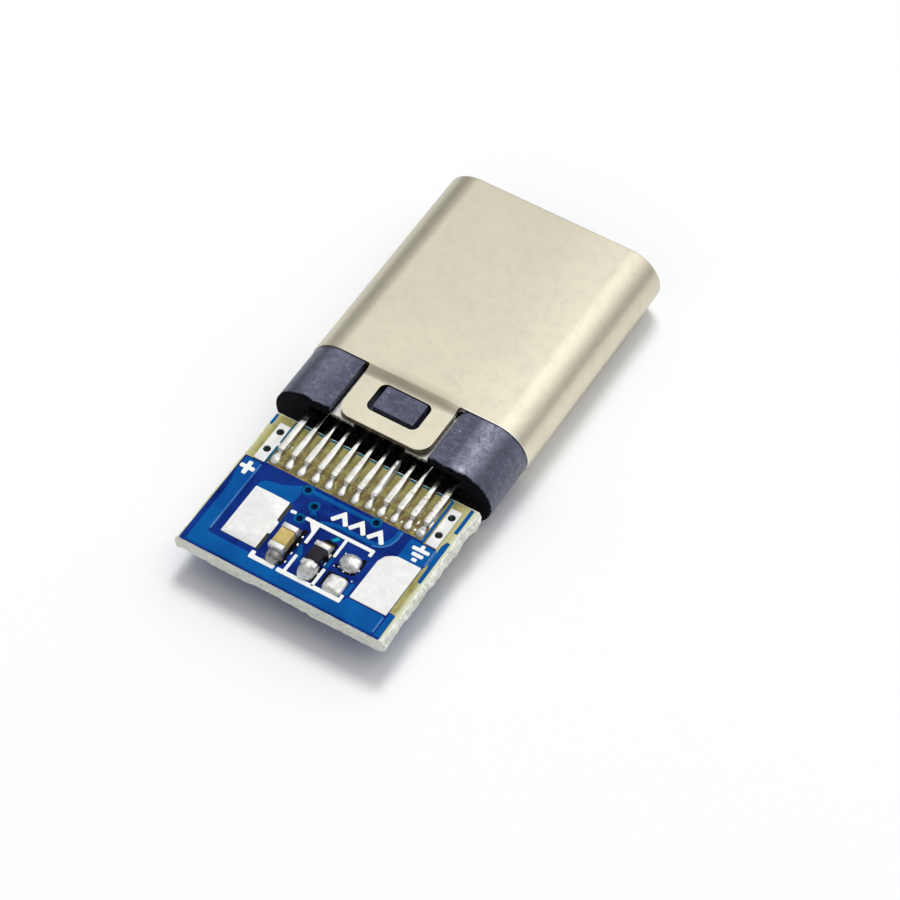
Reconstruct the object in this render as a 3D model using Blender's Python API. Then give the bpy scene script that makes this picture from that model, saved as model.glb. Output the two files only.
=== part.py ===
"""A USB-C plug with a full set of 24 contacts, soldered astride a small circuit board.

X runs across the plug, +Y points out of its mouth and +Z is up. The plug lies on its shell.
Lengths along Y are counted from the rear face of the plastic housing, and the whole model then
hangs on one empty that brings the middle of its length to the origin.
"""

import math

import bmesh
import bpy

MM = 0.001
CLEARANCE = 0.01 * MM
CUT = 1.0 * MM

# Shell: a drawn steel tube with round ends, and a latching tongue at the rear of each broad side
SHELL_WIDTH = 8.25 * MM
SHELL_HEIGHT = 2.40 * MM
SHELL_WALL = 0.22 * MM
SHELL_LENGTH = 8.65 * MM
LIP_RADIUS = 0.12 * MM
INNER_LIP_RADIUS = 0.06 * MM
TONGUE_WIDTH = 3.38 * MM
TONGUE_LENGTH = 2.14 * MM
TONGUE_OFFSET = -0.15 * MM
TONGUE_DROP = 0.12 * MM
TONGUE_BEND = 0.30 * MM
TONGUE_CORNER = 0.50 * MM
TONGUE_ROOT_FILLET = 0.10 * MM
WINDOW_WIDTH = 1.93 * MM
WINDOW_LENGTH = 1.18 * MM
WINDOW_CORNER = 0.25 * MM
WINDOW_SETBACK = 0.59 * MM

# Housing: dark plastic behind the shell, with a spigot inside it
HOUSING_LENGTH = 2.28 * MM
HOUSING_INSET = 0.04 * MM
HOUSING_EDGE = 0.09 * MM
SPIGOT_LENGTH = 1.22 * MM
SPIGOT_CHAMFER = 0.08 * MM
WING_GAP = 0.185 * MM
WING_CORNER = 0.24 * MM
POCKET_DEPTH = 0.60 * MM
POCKET_ROOF = 0.31 * MM
FLOOR_WALL = 0.12 * MM
BUMP_WIDTH = 1.55 * MM
BUMP_LENGTH = 0.98 * MM
BUMP_FRONT_GAP = 0.03 * MM
BUMP_BEVEL = 0.04 * MM

# Ground plates, one under each tongue
PLATE_THICKNESS = 0.15 * MM
PLATE_REAR = 0.12 * MM
PLATE_FRONT_GAP = 0.20 * MM
PLATE_SIDE_GAP = 0.04 * MM

# Contacts: two rows of bent strips
CONTACT_COUNT = 12
CONTACT_PITCH = 0.50 * MM
CONTACT_THICKNESS = 0.12 * MM
BEAM_LEVEL = 0.48 * MM
BEAM_WIDTH = 0.24 * MM
STEM_WIDTH = 0.20 * MM
TOUCH_LEVEL = 0.36 * MM
TOUCH_SETBACK = 2.60 * MM
LONG_CONTACT_LEAD = 0.45 * MM
LONG_CONTACTS = (1, 4, 9, 12)
SLOPE_SETBACK = 0.24 * MM
TIP_LENGTH = 0.34 * MM
TIP_RISE = 0.15 * MM
TIP_WIDTH = 0.17 * MM
TAIL_LENGTH = 1.32 * MM
TAIL_WIDTH = 0.24 * MM
TAIL_END_WIDTH = 0.18 * MM
TAIL_ROOT_WIDTH = 0.13 * MM
TAIL_TAPER = 0.60 * MM

# Terminal holders: two moulded combs that keep the rows apart
HOLDER_SIDE = 0.19 * MM
HOLDER_COVER = 0.11 * MM
HOLDER_FRONT_COVER = 0.08 * MM
HOLDER_NOSE = 1.63 * MM

# Latch plate: one stamped sheet between the holders, whose arms end in side latches
LATCH_THICKNESS = 0.16 * MM
LATCH_ARM_WIDTH = 0.24 * MM
LATCH_ARM_GAP = 0.02 * MM
LATCH_BRIDGE = 1.28 * MM
LATCH_TAIL = 2.60 * MM
LATCH_HOOK = 0.34 * MM
LATCH_HOOK_SETBACK = 2.03 * MM

# Front insulator: the plastic sleeve that forms the mouth
MOUTH_SIDE = 0.725 * MM
MOUTH_HEIGHT = 0.80 * MM
MOUTH_RECESS = 0.15 * MM
INSULATOR_GAP = 0.05 * MM
INSULATOR_CHAMFER = 0.06 * MM
SLOT_ROOM = 0.05 * MM
SLOT_HEIGHT = 0.72 * MM
SLOT_AHEAD = 0.12 * MM
SIDE_SLOT_ROOM = 0.30 * MM

# Ground springs: stamped frames between insulator and shell, whose fingers dip into the mouth
SPRING_THICKNESS = 0.08 * MM
SPRING_SIDE = 0.325 * MM
SPRING_LENGTH = 1.80 * MM
SPRING_SETBACK = 0.36 * MM
SPRING_BAR = 0.16 * MM
SPRING_REAR_BAR = 0.36 * MM
FINGER_COUNT = 4
FINGER_WIDTH = 0.50 * MM
FINGER_LENGTH = 1.14 * MM
FINGER_ROOM = 0.10 * MM
FINGER_LEVEL = 0.38 * MM
FINGER_TIP_RISE = 0.16 * MM
FINGER_TOUCH = 0.72

# Circuit board and what is soldered to it
BOARD_LENGTH = 5.80 * MM
BOARD_THICKNESS = 0.60 * MM
BOARD_GAP = 0.40 * MM
BOARD_SHIFT = 0.07 * MM
BOARD_MARGIN = 0.34 * MM
SCORE_DEPTH = 0.07 * MM
SCORE_WEB = 0.20 * MM
PAD_RELIEF = 0.02 * MM
CONTACT_PAD_WIDTH = 0.28 * MM
CONTACT_PAD_LENGTH = 1.78 * MM
CONTACT_PAD_SETBACK = 0.03 * MM
PAD_THICKNESS = 0.035 * MM
ANCHOR_PAD_GAP = 0.15 * MM
ANCHOR_PAD_WIDTH = 0.41 * MM
ANCHOR_PAD_LENGTH = 1.61 * MM
ANCHOR_PAD_SETBACK = 0.34 * MM
ANCHOR_HOLE = 0.26 * MM
ANCHOR_HOLE_PITCH = 0.78 * MM
ANCHOR_HOLE_SHIFT = 0.08 * MM
WIRE_PAD_WIDTH = 1.34 * MM
WIRE_PAD_LENGTH = 2.06 * MM
WIRE_PAD_MARGIN = 0.90 * MM
WIRE_PAD_CORNER = 0.45 * MM
POSITIVE_PAD_INSET = 1.06 * MM
VIA_HOLE = 0.22 * MM
VIA_ACROSS = (-0.49 * MM, 0.03 * MM, -0.12 * MM, 2.04 * MM)
VIA_SETBACK = (2.13 * MM, 2.57 * MM, 3.20 * MM, 2.07 * MM)
CHIP_LENGTH = 1.00 * MM
CHIP_WIDTH = 0.50 * MM
CHIP_END = 0.20 * MM
CHIP_STANDOFF = 0.03 * MM
CHIP_BEVEL = 0.02 * MM
CHIP_MARGIN = 1.52 * MM
CAPACITOR_HEIGHT = 0.40 * MM
CAPACITOR_X = -0.67 * MM
RESISTOR_HEIGHT = 0.32 * MM
CHIP_SPACING = 1.21 * MM

# Facets
END_STEPS = 14
ARC_STEPS = 5
HOLE_SIDES = 12

# Places that follow from the sizes above
MID = SHELL_HEIGHT / 2
SHELL_REAR = HOUSING_LENGTH
MOUTH = SHELL_REAR + SHELL_LENGTH
TONGUE_REAR = SHELL_REAR - TONGUE_LENGTH
WING_SLOT = TONGUE_WIDTH + 2 * WING_GAP
WINDOW_REAR = TONGUE_REAR + WINDOW_SETBACK
WINDOW_FRONT = WINDOW_REAR + WINDOW_LENGTH
SPIGOT_FRONT = SHELL_REAR + SPIGOT_LENGTH
PLATE_FRONT = SPIGOT_FRONT - PLATE_FRONT_GAP
PLATE_TOP = SHELL_HEIGHT - TONGUE_DROP - SHELL_WALL - CLEARANCE
PLATE_BOTTOM = PLATE_TOP - PLATE_THICKNESS
RECESS_FLOOR = PLATE_BOTTOM - CLEARANCE
INSULATOR_REAR = SPIGOT_FRONT + INSULATOR_GAP
INSULATOR_FRONT = MOUTH - MOUTH_RECESS
CONTACT_ROW = (CONTACT_COUNT - 1) * CONTACT_PITCH
HOLDER_WIDTH = CONTACT_ROW + 2 * HOLDER_SIDE
HOLDER_INNER = LATCH_THICKNESS / 2 + CLEARANCE
HOLDER_TOP = RECESS_FLOOR - FLOOR_WALL - CLEARANCE - MID
CONTACT_LEVEL = HOLDER_TOP - HOLDER_COVER - CONTACT_THICKNESS / 2
HOLDER_STEP = INSULATOR_REAR + CLEARANCE
HOLDER_FRONT = HOLDER_STEP + HOLDER_NOSE
HOLDER_NOSE_TOP = BEAM_LEVEL + CONTACT_THICKNESS / 2 + HOLDER_FRONT_COVER
BOARD_FAR = -BOARD_GAP
BOARD_NEAR = BOARD_FAR - BOARD_LENGTH
BOARD_TOP = BOARD_THICKNESS / 2
TAIL_LEVEL = BOARD_TOP + PAD_RELIEF + CLEARANCE + CONTACT_THICKNESS / 2
ANCHOR_INNER = CONTACT_ROW / 2 + CONTACT_PAD_WIDTH / 2 + ANCHOR_PAD_GAP
ANCHOR_OUTER = ANCHOR_INNER + ANCHOR_PAD_WIDTH
BOARD_WIDTH = 2 * (ANCHOR_OUTER + BOARD_MARGIN)
CHIP_Y = BOARD_NEAR + CHIP_MARGIN
MOUTH_WIDTH = SHELL_WIDTH - 2 * MOUTH_SIDE
SPRING_WIDTH = SHELL_WIDTH - SHELL_HEIGHT - 2 * SPRING_SIDE
SPRING_FRONT = INSULATOR_FRONT - SPRING_SETBACK
SPRING_REAR = SPRING_FRONT - SPRING_LENGTH
SPRING_LEVEL = MID - SHELL_WALL - CLEARANCE - SPRING_THICKNESS / 2 - CLEARANCE
LATCH_ARM_INNER = MOUTH_WIDTH / 2 + LATCH_ARM_GAP
LATCH_ARM_OUTER = LATCH_ARM_INNER + LATCH_ARM_WIDTH
LATCH_HOOK_TIP = MOUTH - LATCH_HOOK_SETBACK

# Colours as red, green, blue, then roughness and metallic
FINISHES = {
    "shell_steel": ((0.72, 0.69, 0.60), 0.34, 1.0),
    "housing_plastic": ((0.12, 0.12, 0.16), 0.55, 0.0),
    "insulator_plastic": ((0.03, 0.03, 0.035), 0.5, 0.0),
    "plate_steel": ((0.70, 0.69, 0.66), 0.3, 1.0),
    "contact_alloy": ((0.85, 0.65, 0.30), 0.25, 1.0),
    "board_laminate": ((0.02, 0.12, 0.42), 0.4, 0.0),
    "tinned_pad": ((0.80, 0.80, 0.78), 0.35, 1.0),
    "capacitor_ceramic": ((0.62, 0.45, 0.20), 0.6, 0.0),
    "resistor_glaze": ((0.03, 0.025, 0.03), 0.4, 0.0),
    "chip_end": ((0.78, 0.78, 0.76), 0.35, 1.0),
}


def clear_scene():
    for obj in list(bpy.data.objects):
        bpy.data.objects.remove(obj, do_unlink=True)


def add_material(name):
    """One Principled material of the finish with this name, made once."""
    if name in bpy.data.materials:
        return bpy.data.materials[name]
    color, roughness, metallic = FINISHES[name]
    material = bpy.data.materials.new(name)
    material.use_nodes = True
    shader = material.node_tree.nodes["Principled BSDF"]
    shader.inputs["Base Color"].default_value = (*color, 1.0)
    shader.inputs["Roughness"].default_value = roughness
    shader.inputs["Metallic"].default_value = metallic
    material.diffuse_color = (*color, 1.0)
    return material


def mesh_from(name, points, faces):
    """A mesh whose faces all look outwards."""
    mesh = bpy.data.meshes.new(name)
    mesh.from_pydata(points, [], faces)
    shape = bmesh.new()
    shape.from_mesh(mesh)
    bmesh.ops.recalc_face_normals(shape, faces=shape.faces)
    shape.to_mesh(mesh)
    shape.free()
    return mesh


def place(name, mesh, frame, finish=None, upside_down=False, x=0.0):
    """An object on the frame, turned half round the plug's long axis where it is upside down."""
    obj = bpy.data.objects.new(name, mesh)
    bpy.context.scene.collection.objects.link(obj)
    obj.parent = frame
    obj.location.x = x
    if upside_down:
        obj.location.z = SHELL_HEIGHT
        obj.rotation_euler.y = math.pi
    if finish and not mesh.materials:
        mesh.materials.append(add_material(finish))
    return obj


def combine(obj, mesh, frame, operation="DIFFERENCE", upside_down=False):
    """Cuts or joins the object with a mesh, and keeps the mesh as a hidden guide."""
    guide = place(f"{obj.name}_guide_{len(obj.modifiers)}", mesh, frame, upside_down=upside_down)
    guide.hide_render = True
    guide.display_type = "WIRE"
    modifier = obj.modifiers.new(guide.name, "BOOLEAN")
    modifier.operation = operation
    modifier.solver = "EXACT"
    modifier.object = guide


def settle(obj):
    """Turns the object's modifiers into plain mesh."""
    bpy.context.view_layer.update()
    graph = bpy.context.evaluated_depsgraph_get()
    mesh = bpy.data.meshes.new_from_object(obj.evaluated_get(graph))
    obj.modifiers.clear()
    obj.data = mesh
    return mesh


def shade_round(mesh, angle=35.0):
    mesh.shade_smooth()
    mesh.set_sharp_from_angle(angle=math.radians(angle))


def loft(name, rings, hollow=False):
    """Skins rings that have the same number of points. A hollow loft's last ring meets its first."""
    size = len(rings[0])
    points = [point for ring in rings for point in ring]
    spans = len(rings) if hollow else len(rings) - 1
    faces = []
    for span in range(spans):
        start = span * size
        other = (span + 1) % len(rings) * size
        for i in range(size):
            j = (i + 1) % size
            faces.append((start + i, start + j, other + j, other + i))
    if not hollow:
        faces.append(tuple(range(size)))
        faces.append(tuple(range(len(points) - size, len(points))))
    return mesh_from(name, points, faces)


def prism(name, outline, axis, low, high):
    """Extrudes an outline along an axis, X or Z. The outline is in YZ for X and in XY for Z."""
    if axis == "X":
        rings = [[(level, a, b) for a, b in outline] for level in (low, high)]
    else:
        rings = [[(a, b, level) for a, b in outline] for level in (low, high)]
    return loft(name, rings)


def boxes(name, bounds):
    """One mesh of separate boxes, each given as x0, x1, y0, y1, z0, z1."""
    points = []
    faces = []
    for x0, x1, y0, y1, z0, z1 in bounds:
        start = len(points)
        points += [(x, y, z) for z in (z0, z1) for x, y in ((x0, y0), (x1, y0), (x1, y1), (x0, y1))]
        for face in ((0, 3, 2, 1), (4, 5, 6, 7), (0, 1, 5, 4), (1, 2, 6, 5), (2, 3, 7, 6), (3, 0, 4, 7)):
            faces.append(tuple(start + corner for corner in face))
    return mesh_from(name, points, faces)


def arc(x, y, radius, start, end, steps=ARC_STEPS):
    """Points on a circle about x, y, between two angles in degrees."""
    angles = [math.radians(start + (end - start) * step / steps) for step in range(steps + 1)]
    return [(x + radius * math.cos(angle), y + radius * math.sin(angle)) for angle in angles]


def rounded_rectangle(x0, x1, y0, y1, radius):
    return (
        arc(x1 - radius, y1 - radius, radius, 0, 90)
        + arc(x0 + radius, y1 - radius, radius, 90, 180)
        + arc(x0 + radius, y0 + radius, radius, 180, 270)
        + arc(x1 - radius, y0 + radius, radius, 270, 360)
    )


def section_ring(y, inset):
    """The plug's round-ended section at y, drawn in by an inset."""
    reach = (SHELL_WIDTH - SHELL_HEIGHT) / 2
    radius = SHELL_HEIGHT / 2 - inset
    ring = []
    for side in (1, -1):
        for step in range(END_STEPS + 1):
            angle = math.pi * (step / END_STEPS - 0.5)
            ring.append((
                side * (reach + radius * math.cos(angle)),
                y,
                MID + side * radius * math.sin(angle),
            ))
    return ring


def contact_places():
    """Each contact's number, counted from the left, and its place across the plug."""
    return [(i + 1, i * CONTACT_PITCH - CONTACT_ROW / 2) for i in range(CONTACT_COUNT)]


def tongue_drop(y):
    """How far the tongue lies below the shell's face at y: an S-bend behind the shell's edge."""
    share = min(max((SHELL_REAR - y) / TONGUE_BEND, 0.0), 1.0)
    return TONGUE_DROP * share * share * (3 - 2 * share)


def tongue_waste():
    """Plan of what is cut away around a tongue, with the fillets at its root and its round corners."""
    left = TONGUE_OFFSET - TONGUE_WIDTH / 2
    right = TONGUE_OFFSET + TONGUE_WIDTH / 2
    fillet = TONGUE_ROOT_FILLET
    corner = TONGUE_CORNER
    return (
        [(-SHELL_WIDTH, SHELL_REAR)]
        + arc(left - fillet, SHELL_REAR - fillet, fillet, 90, 0)
        + arc(left + corner, TONGUE_REAR + corner, corner, 180, 270)
        + arc(right - corner, TONGUE_REAR + corner, corner, 270, 360)
        + arc(right + fillet, SHELL_REAR - fillet, fillet, 180, 90)
        + [(SHELL_WIDTH, SHELL_REAR), (SHELL_WIDTH, TONGUE_REAR - CUT), (-SHELL_WIDTH, TONGUE_REAR - CUT)]
    )


def make_shell(frame):
    """A full-length tube, cut back to two tongues that are then joggled inwards."""
    bend = [SHELL_REAR - TONGUE_BEND * step / ARC_STEPS for step in range(ARC_STEPS, -1, -1)]
    lip = [
        (MOUTH - LIP_RADIUS + y, LIP_RADIUS - inset)
        for inset, y in arc(0, 0, LIP_RADIUS, 0, 90)
    ]
    inner_lip = [
        (MOUTH - INNER_LIP_RADIUS + y, SHELL_WALL - INNER_LIP_RADIUS + inset)
        for inset, y in arc(0, 0, INNER_LIP_RADIUS, 90, 0, 3)
    ]
    outside = [(y, 0.0) for y in [TONGUE_REAR - CUT / 2, *bend]] + lip
    inside = inner_lip + [(y, SHELL_WALL) for y in [*reversed(bend), TONGUE_REAR - CUT / 2]]
    rings = [section_ring(y, inset) for y, inset in outside + inside]
    shell = place("outer_shell", loft("outer_shell", rings, hollow=True), frame, "shell_steel")
    window = rounded_rectangle(
        TONGUE_OFFSET - WINDOW_WIDTH / 2,
        TONGUE_OFFSET + WINDOW_WIDTH / 2,
        WINDOW_REAR,
        WINDOW_FRONT,
        WINDOW_CORNER,
    )
    waste_mesh = prism("tongue_waste", tongue_waste(), "Z", MID - SHELL_WALL / 2, SHELL_HEIGHT + CUT)
    window_mesh = prism("tongue_window", window, "Z", MID, SHELL_HEIGHT + CUT)
    for upside_down in (False, True):
        combine(shell, waste_mesh, frame, upside_down=upside_down)
        combine(shell, window_mesh, frame, upside_down=upside_down)
    mesh = settle(shell)
    for vertex in mesh.vertices:
        side = 1 if vertex.co.z > MID else -1
        vertex.co.z -= side * tongue_drop(vertex.co.y)
    shade_round(mesh)


def make_housing(frame):
    """The rear block and its spigot, with a recess for each tongue, a rear pocket and two bumps."""
    shoulder = SHELL_REAR - CLEARANCE
    spigot = SHELL_WALL + CLEARANCE
    stations = [
        (HOUSING_EDGE - y, HOUSING_INSET + HOUSING_EDGE - inset)
        for inset, y in arc(0, 0, HOUSING_EDGE, 90, 0, 3)
    ]
    stations += [
        (shoulder, HOUSING_INSET),
        (shoulder, spigot),
        (SPIGOT_FRONT - SPIGOT_CHAMFER, spigot),
        (SPIGOT_FRONT, spigot + SPIGOT_CHAMFER),
    ]
    rings = [section_ring(y, inset) for y, inset in stations]
    housing = place("rear_housing", loft("rear_housing", rings), frame, "housing_plastic")
    opening = HOLDER_WIDTH / 2 + CLEARANCE
    pocket = MID - HOUSING_INSET - POCKET_ROOF
    recess = prism("tongue_recess", recess_outline(), "Z", RECESS_FLOOR, SHELL_HEIGHT + CUT)
    cavity = boxes("holder_cavity", [(
        -opening, opening, -CUT, SPIGOT_FRONT + CUT,
        MID - HOLDER_TOP - CLEARANCE, MID + HOLDER_TOP + CLEARANCE,
    )])
    rear_pocket = boxes("rear_pocket", [(
        -opening, opening, -CUT, POCKET_DEPTH, MID - pocket, MID + pocket,
    )])
    bump = make_bump()
    combine(housing, cavity, frame)
    combine(housing, rear_pocket, frame)
    for upside_down in (False, True):
        combine(housing, recess, frame, upside_down=upside_down)
        combine(housing, bump, frame, "UNION", upside_down)
    shade_round(settle(housing))


def recess_outline():
    """Plan of a tongue's recess, whose right wing has a round corner at the shell."""
    left = TONGUE_OFFSET - WING_SLOT / 2
    right = TONGUE_OFFSET + WING_SLOT / 2
    front = PLATE_FRONT + CLEARANCE
    corner = arc(right + WING_CORNER, SHELL_REAR - WING_CORNER, WING_CORNER, 180, 90)
    return [(left, -CUT), (right, -CUT)] + corner + [(right, SHELL_REAR), (right, front), (left, front)]


def make_bump():
    """The block that snaps into the tongue's window, with its upper edges taken off."""
    front = WINDOW_FRONT - BUMP_FRONT_GAP
    top = SHELL_HEIGHT - TONGUE_DROP
    rings = []
    for level, inset in ((RECESS_FLOOR - FLOOR_WALL / 2, 0.0), (top - BUMP_BEVEL, 0.0), (top, BUMP_BEVEL)):
        left = TONGUE_OFFSET - BUMP_WIDTH / 2 + inset
        right = TONGUE_OFFSET + BUMP_WIDTH / 2 - inset
        rear = front - BUMP_LENGTH + inset
        rings.append([
            (left, rear, level), (right, rear, level),
            (right, front - inset, level), (left, front - inset, level),
        ])
    return loft("window_bump", rings)


def make_ground_plates(frame):
    """A plate under each tongue, forked at the rear to pass the bump."""
    half = WING_SLOT / 2 - PLATE_SIDE_GAP
    fork = WINDOW_WIDTH / 2
    fork_end = WINDOW_FRONT + PLATE_SIDE_GAP
    outline = [
        (-half, PLATE_REAR), (-fork, PLATE_REAR), (-fork, fork_end), (fork, fork_end),
        (fork, PLATE_REAR), (half, PLATE_REAR), (half, PLATE_FRONT), (-half, PLATE_FRONT),
    ]
    outline = [(TONGUE_OFFSET + x, y) for x, y in outline]
    mesh = prism("ground_plate", outline, "Z", PLATE_BOTTOM, PLATE_TOP)
    place("ground_plate_top", mesh, frame, "plate_steel")
    place("ground_plate_bottom", mesh, frame, upside_down=True)


def contact_stations(touch, broad_tail):
    """Place along the plug, level above its middle and width, from a contact's tail to its tip."""
    tail_end = BOARD_FAR - TAIL_LENGTH
    root = TAIL_WIDTH if broad_tail else TAIL_ROOT_WIDTH
    rise = HOLDER_STEP + CONTACT_THICKNESS / 2
    rise_end = rise + 3 * CONTACT_THICKNESS
    bend = CONTACT_THICKNESS
    stations = [
        (tail_end, TAIL_LEVEL, TAIL_END_WIDTH),
        (tail_end + bend / 2, TAIL_LEVEL, TAIL_WIDTH),
        (tail_end + TAIL_TAPER, TAIL_LEVEL, TAIL_WIDTH),
        (0.0, TAIL_LEVEL, root),
        (bend, TAIL_LEVEL, root),
        (POCKET_DEPTH - bend, CONTACT_LEVEL, STEM_WIDTH),
        (rise, CONTACT_LEVEL, STEM_WIDTH),
        (rise_end, BEAM_LEVEL, STEM_WIDTH),
        (HOLDER_FRONT + bend, BEAM_LEVEL, BEAM_WIDTH),
    ]
    slope_end = touch - SLOPE_SETBACK
    stations += [
        (slope_end, TOUCH_LEVEL + bend / 4, BEAM_WIDTH),
        (touch - bend / 2, TOUCH_LEVEL, BEAM_WIDTH),
        (touch + bend / 2, TOUCH_LEVEL, BEAM_WIDTH),
        (touch + TIP_LENGTH, TOUCH_LEVEL + TIP_RISE, TIP_WIDTH),
    ]
    return stations


def ribbon(name, stations):
    """A strip of even thickness along stations of place, level and width."""
    rings = []
    for i, (y, level, width) in enumerate(stations):
        before = stations[max(i - 1, 0)]
        after = stations[min(i + 1, len(stations) - 1)]
        angle = math.atan2(after[1] - before[1], after[0] - before[0])
        out_y = -math.sin(angle) * CONTACT_THICKNESS / 2
        out_z = math.cos(angle) * CONTACT_THICKNESS / 2
        rings.append([
            (-width / 2, y + out_y, MID + level + out_z),
            (width / 2, y + out_y, MID + level + out_z),
            (width / 2, y - out_y, MID + level - out_z),
            (-width / 2, y - out_y, MID + level - out_z),
        ])
    return loft(name, rings)


def make_contacts(frame):
    """Both rows. The supply and ground contacts lead the others, and the outer tails are broad."""
    signal_touch = MOUTH - TOUCH_SETBACK
    long_touch = signal_touch + LONG_CONTACT_LEAD
    meshes = {
        "outer": ribbon("outer_contact", contact_stations(long_touch, True)),
        "long": ribbon("long_contact", contact_stations(long_touch, False)),
        "signal": ribbon("signal_contact", contact_stations(signal_touch, False)),
    }
    for number, x in contact_places():
        kind = "long" if number in LONG_CONTACTS else "signal"
        if number in (1, CONTACT_COUNT):
            kind = "outer"
        place(f"contact_top_{number:02d}", meshes[kind], frame, "contact_alloy", x=x)
        place(f"contact_bottom_{number:02d}", meshes[kind], frame, upside_down=True, x=-x)


def make_holders(frame):
    """Two combs whose grooves hold the contacts and open towards the latch plate."""
    half = HOLDER_WIDTH / 2
    rear = POCKET_DEPTH
    profile = [
        (rear, HOLDER_INNER), (HOLDER_FRONT, HOLDER_INNER), (HOLDER_FRONT, HOLDER_NOSE_TOP),
        (HOLDER_STEP, HOLDER_NOSE_TOP), (HOLDER_STEP, HOLDER_TOP), (rear, HOLDER_TOP),
    ]
    profile = [(y, MID + level) for y, level in profile]
    groove_top = CONTACT_LEVEL + CONTACT_THICKNESS / 2 + CLEARANCE
    nose_top = BEAM_LEVEL + CONTACT_THICKNESS / 2 + CLEARANCE
    groove = [
        (rear - CUT, HOLDER_INNER - CUT), (HOLDER_FRONT + CUT, HOLDER_INNER - CUT),
        (HOLDER_FRONT + CUT, nose_top), (HOLDER_STEP, nose_top),
        (HOLDER_STEP - CLEARANCE, groove_top), (rear - CUT, groove_top),
    ]
    groove = [(y, MID + level) for y, level in groove]
    room = max(STEM_WIDTH, BEAM_WIDTH) / 2 + CLEARANCE
    holder = place("terminal_holder_top", prism("holder", profile, "X", -half, half), frame,
                   "insulator_plastic")
    for _, x in contact_places():
        combine(holder, prism("groove", groove, "X", x - room, x + room), frame)
    mesh = settle(holder)
    place("terminal_holder_bottom", mesh, frame, upside_down=True)


def make_latch_plate(frame):
    """A stamped H: a bridge between the holders, and two arms with hooks that point inwards."""
    tail_half = HOLDER_WIDTH / 2 - CLEARANCE
    bridge_rear = HOLDER_STEP + CLEARANCE
    bridge_front = bridge_rear + LATCH_BRIDGE
    tail_rear = bridge_rear - LATCH_TAIL
    hook_in = LATCH_ARM_INNER - LATCH_HOOK
    hook = LATCH_HOOK_TIP
    right = [
        (tail_half, tail_rear), (tail_half, bridge_rear), (LATCH_ARM_OUTER, bridge_rear),
        (LATCH_ARM_OUTER, hook + LATCH_ARM_WIDTH), (LATCH_ARM_INNER + LATCH_ARM_WIDTH / 3, hook + LATCH_HOOK),
        (hook_in, hook + LATCH_HOOK / 4), (hook_in, hook - LATCH_HOOK / 4),
        (LATCH_ARM_INNER, hook - 1.5 * LATCH_HOOK), (LATCH_ARM_INNER, bridge_front),
    ]
    left = [(-x, y) for x, y in reversed(right)]
    thickness = LATCH_THICKNESS / 2
    mesh = prism("latch_plate", right + left, "Z", MID - thickness, MID + thickness)
    place("latch_plate", mesh, frame, "plate_steel")


def make_insulator(frame):
    """The sleeve round the mouth: contact slots, side slots, spring recesses and finger windows.

    It is one moulding, kept as four pieces so that each is simple: above, below and beside the mouth.
    """
    inset = SHELL_WALL + CLEARANCE
    stations = [
        (INSULATOR_REAR, inset),
        (INSULATOR_FRONT - INSULATOR_CHAMFER, inset),
        (INSULATOR_FRONT, inset + INSULATOR_CHAMFER),
    ]
    rings = [section_ring(y, depth) for y, depth in stations]
    sleeve = place("front_insulator", loft("front_insulator", rings), frame, "insulator_plastic")
    mouth = MOUTH_WIDTH / 2
    step = HOLDER_FRONT + CLEARANCE
    combine(sleeve, boxes("mouth", [(
        -mouth, mouth, step - CUT / 2, MOUTH + CUT, MID - MOUTH_HEIGHT / 2, MID + MOUTH_HEIGHT / 2,
    )]), frame)
    pocket = HOLDER_WIDTH / 2 + CLEARANCE
    tall = HOLDER_NOSE_TOP + CLEARANCE
    combine(sleeve, boxes("holder_pocket", [(
        -pocket, pocket, INSULATOR_REAR - CUT, step, MID - tall, MID + tall,
    )]), frame)
    side_in = HOLDER_WIDTH / 2 - CUT / 2
    side_half = LATCH_THICKNESS / 2 + 2 * CLEARANCE
    side_front = LATCH_HOOK_TIP + LATCH_HOOK + SIDE_SLOT_ROOM
    sides = [
        (*sorted((side * side_in, side * SHELL_WIDTH)), INSULATOR_REAR - CUT, side_front,
         MID - side_half, MID + side_half)
        for side in (-1, 1)
    ]
    combine(sleeve, boxes("side_slots", sides), frame)
    slot_half = BEAM_WIDTH / 2 + SLOT_ROOM
    slot_front = MOUTH - TOUCH_SETBACK + LONG_CONTACT_LEAD + TIP_LENGTH + SLOT_AHEAD
    slots = [
        (x - slot_half, x + slot_half, step - SLOT_ROOM, slot_front, MID, MID + SLOT_HEIGHT)
        for _, x in contact_places()
    ]
    slot_mesh = boxes("contact_slots", slots)
    recess_half = SPRING_WIDTH / 2 + CLEARANCE
    recess = [(
        -recess_half, recess_half, SPRING_REAR - CLEARANCE, SPRING_FRONT + CLEARANCE,
        MID + SPRING_LEVEL - SPRING_THICKNESS / 2 - CLEARANCE, SHELL_HEIGHT,
    )]
    windows = [
        (x - FINGER_WIDTH / 2 - FINGER_ROOM, x + FINGER_WIDTH / 2 + FINGER_ROOM,
         SPRING_REAR + SPRING_REAR_BAR + CLEARANCE,
         SPRING_REAR + SPRING_REAR_BAR + FINGER_LENGTH + FINGER_ROOM, MID, SHELL_HEIGHT)
        for x in finger_places()
    ]
    recess_mesh = boxes("spring_recess", recess)
    window_mesh = boxes("finger_windows", windows)
    for upside_down in (False, True):
        for mesh in (slot_mesh, recess_mesh, window_mesh):
            combine(sleeve, mesh, frame, upside_down=upside_down)
    shade_round(settle(sleeve))
    split_insulator(sleeve, frame)


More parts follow.
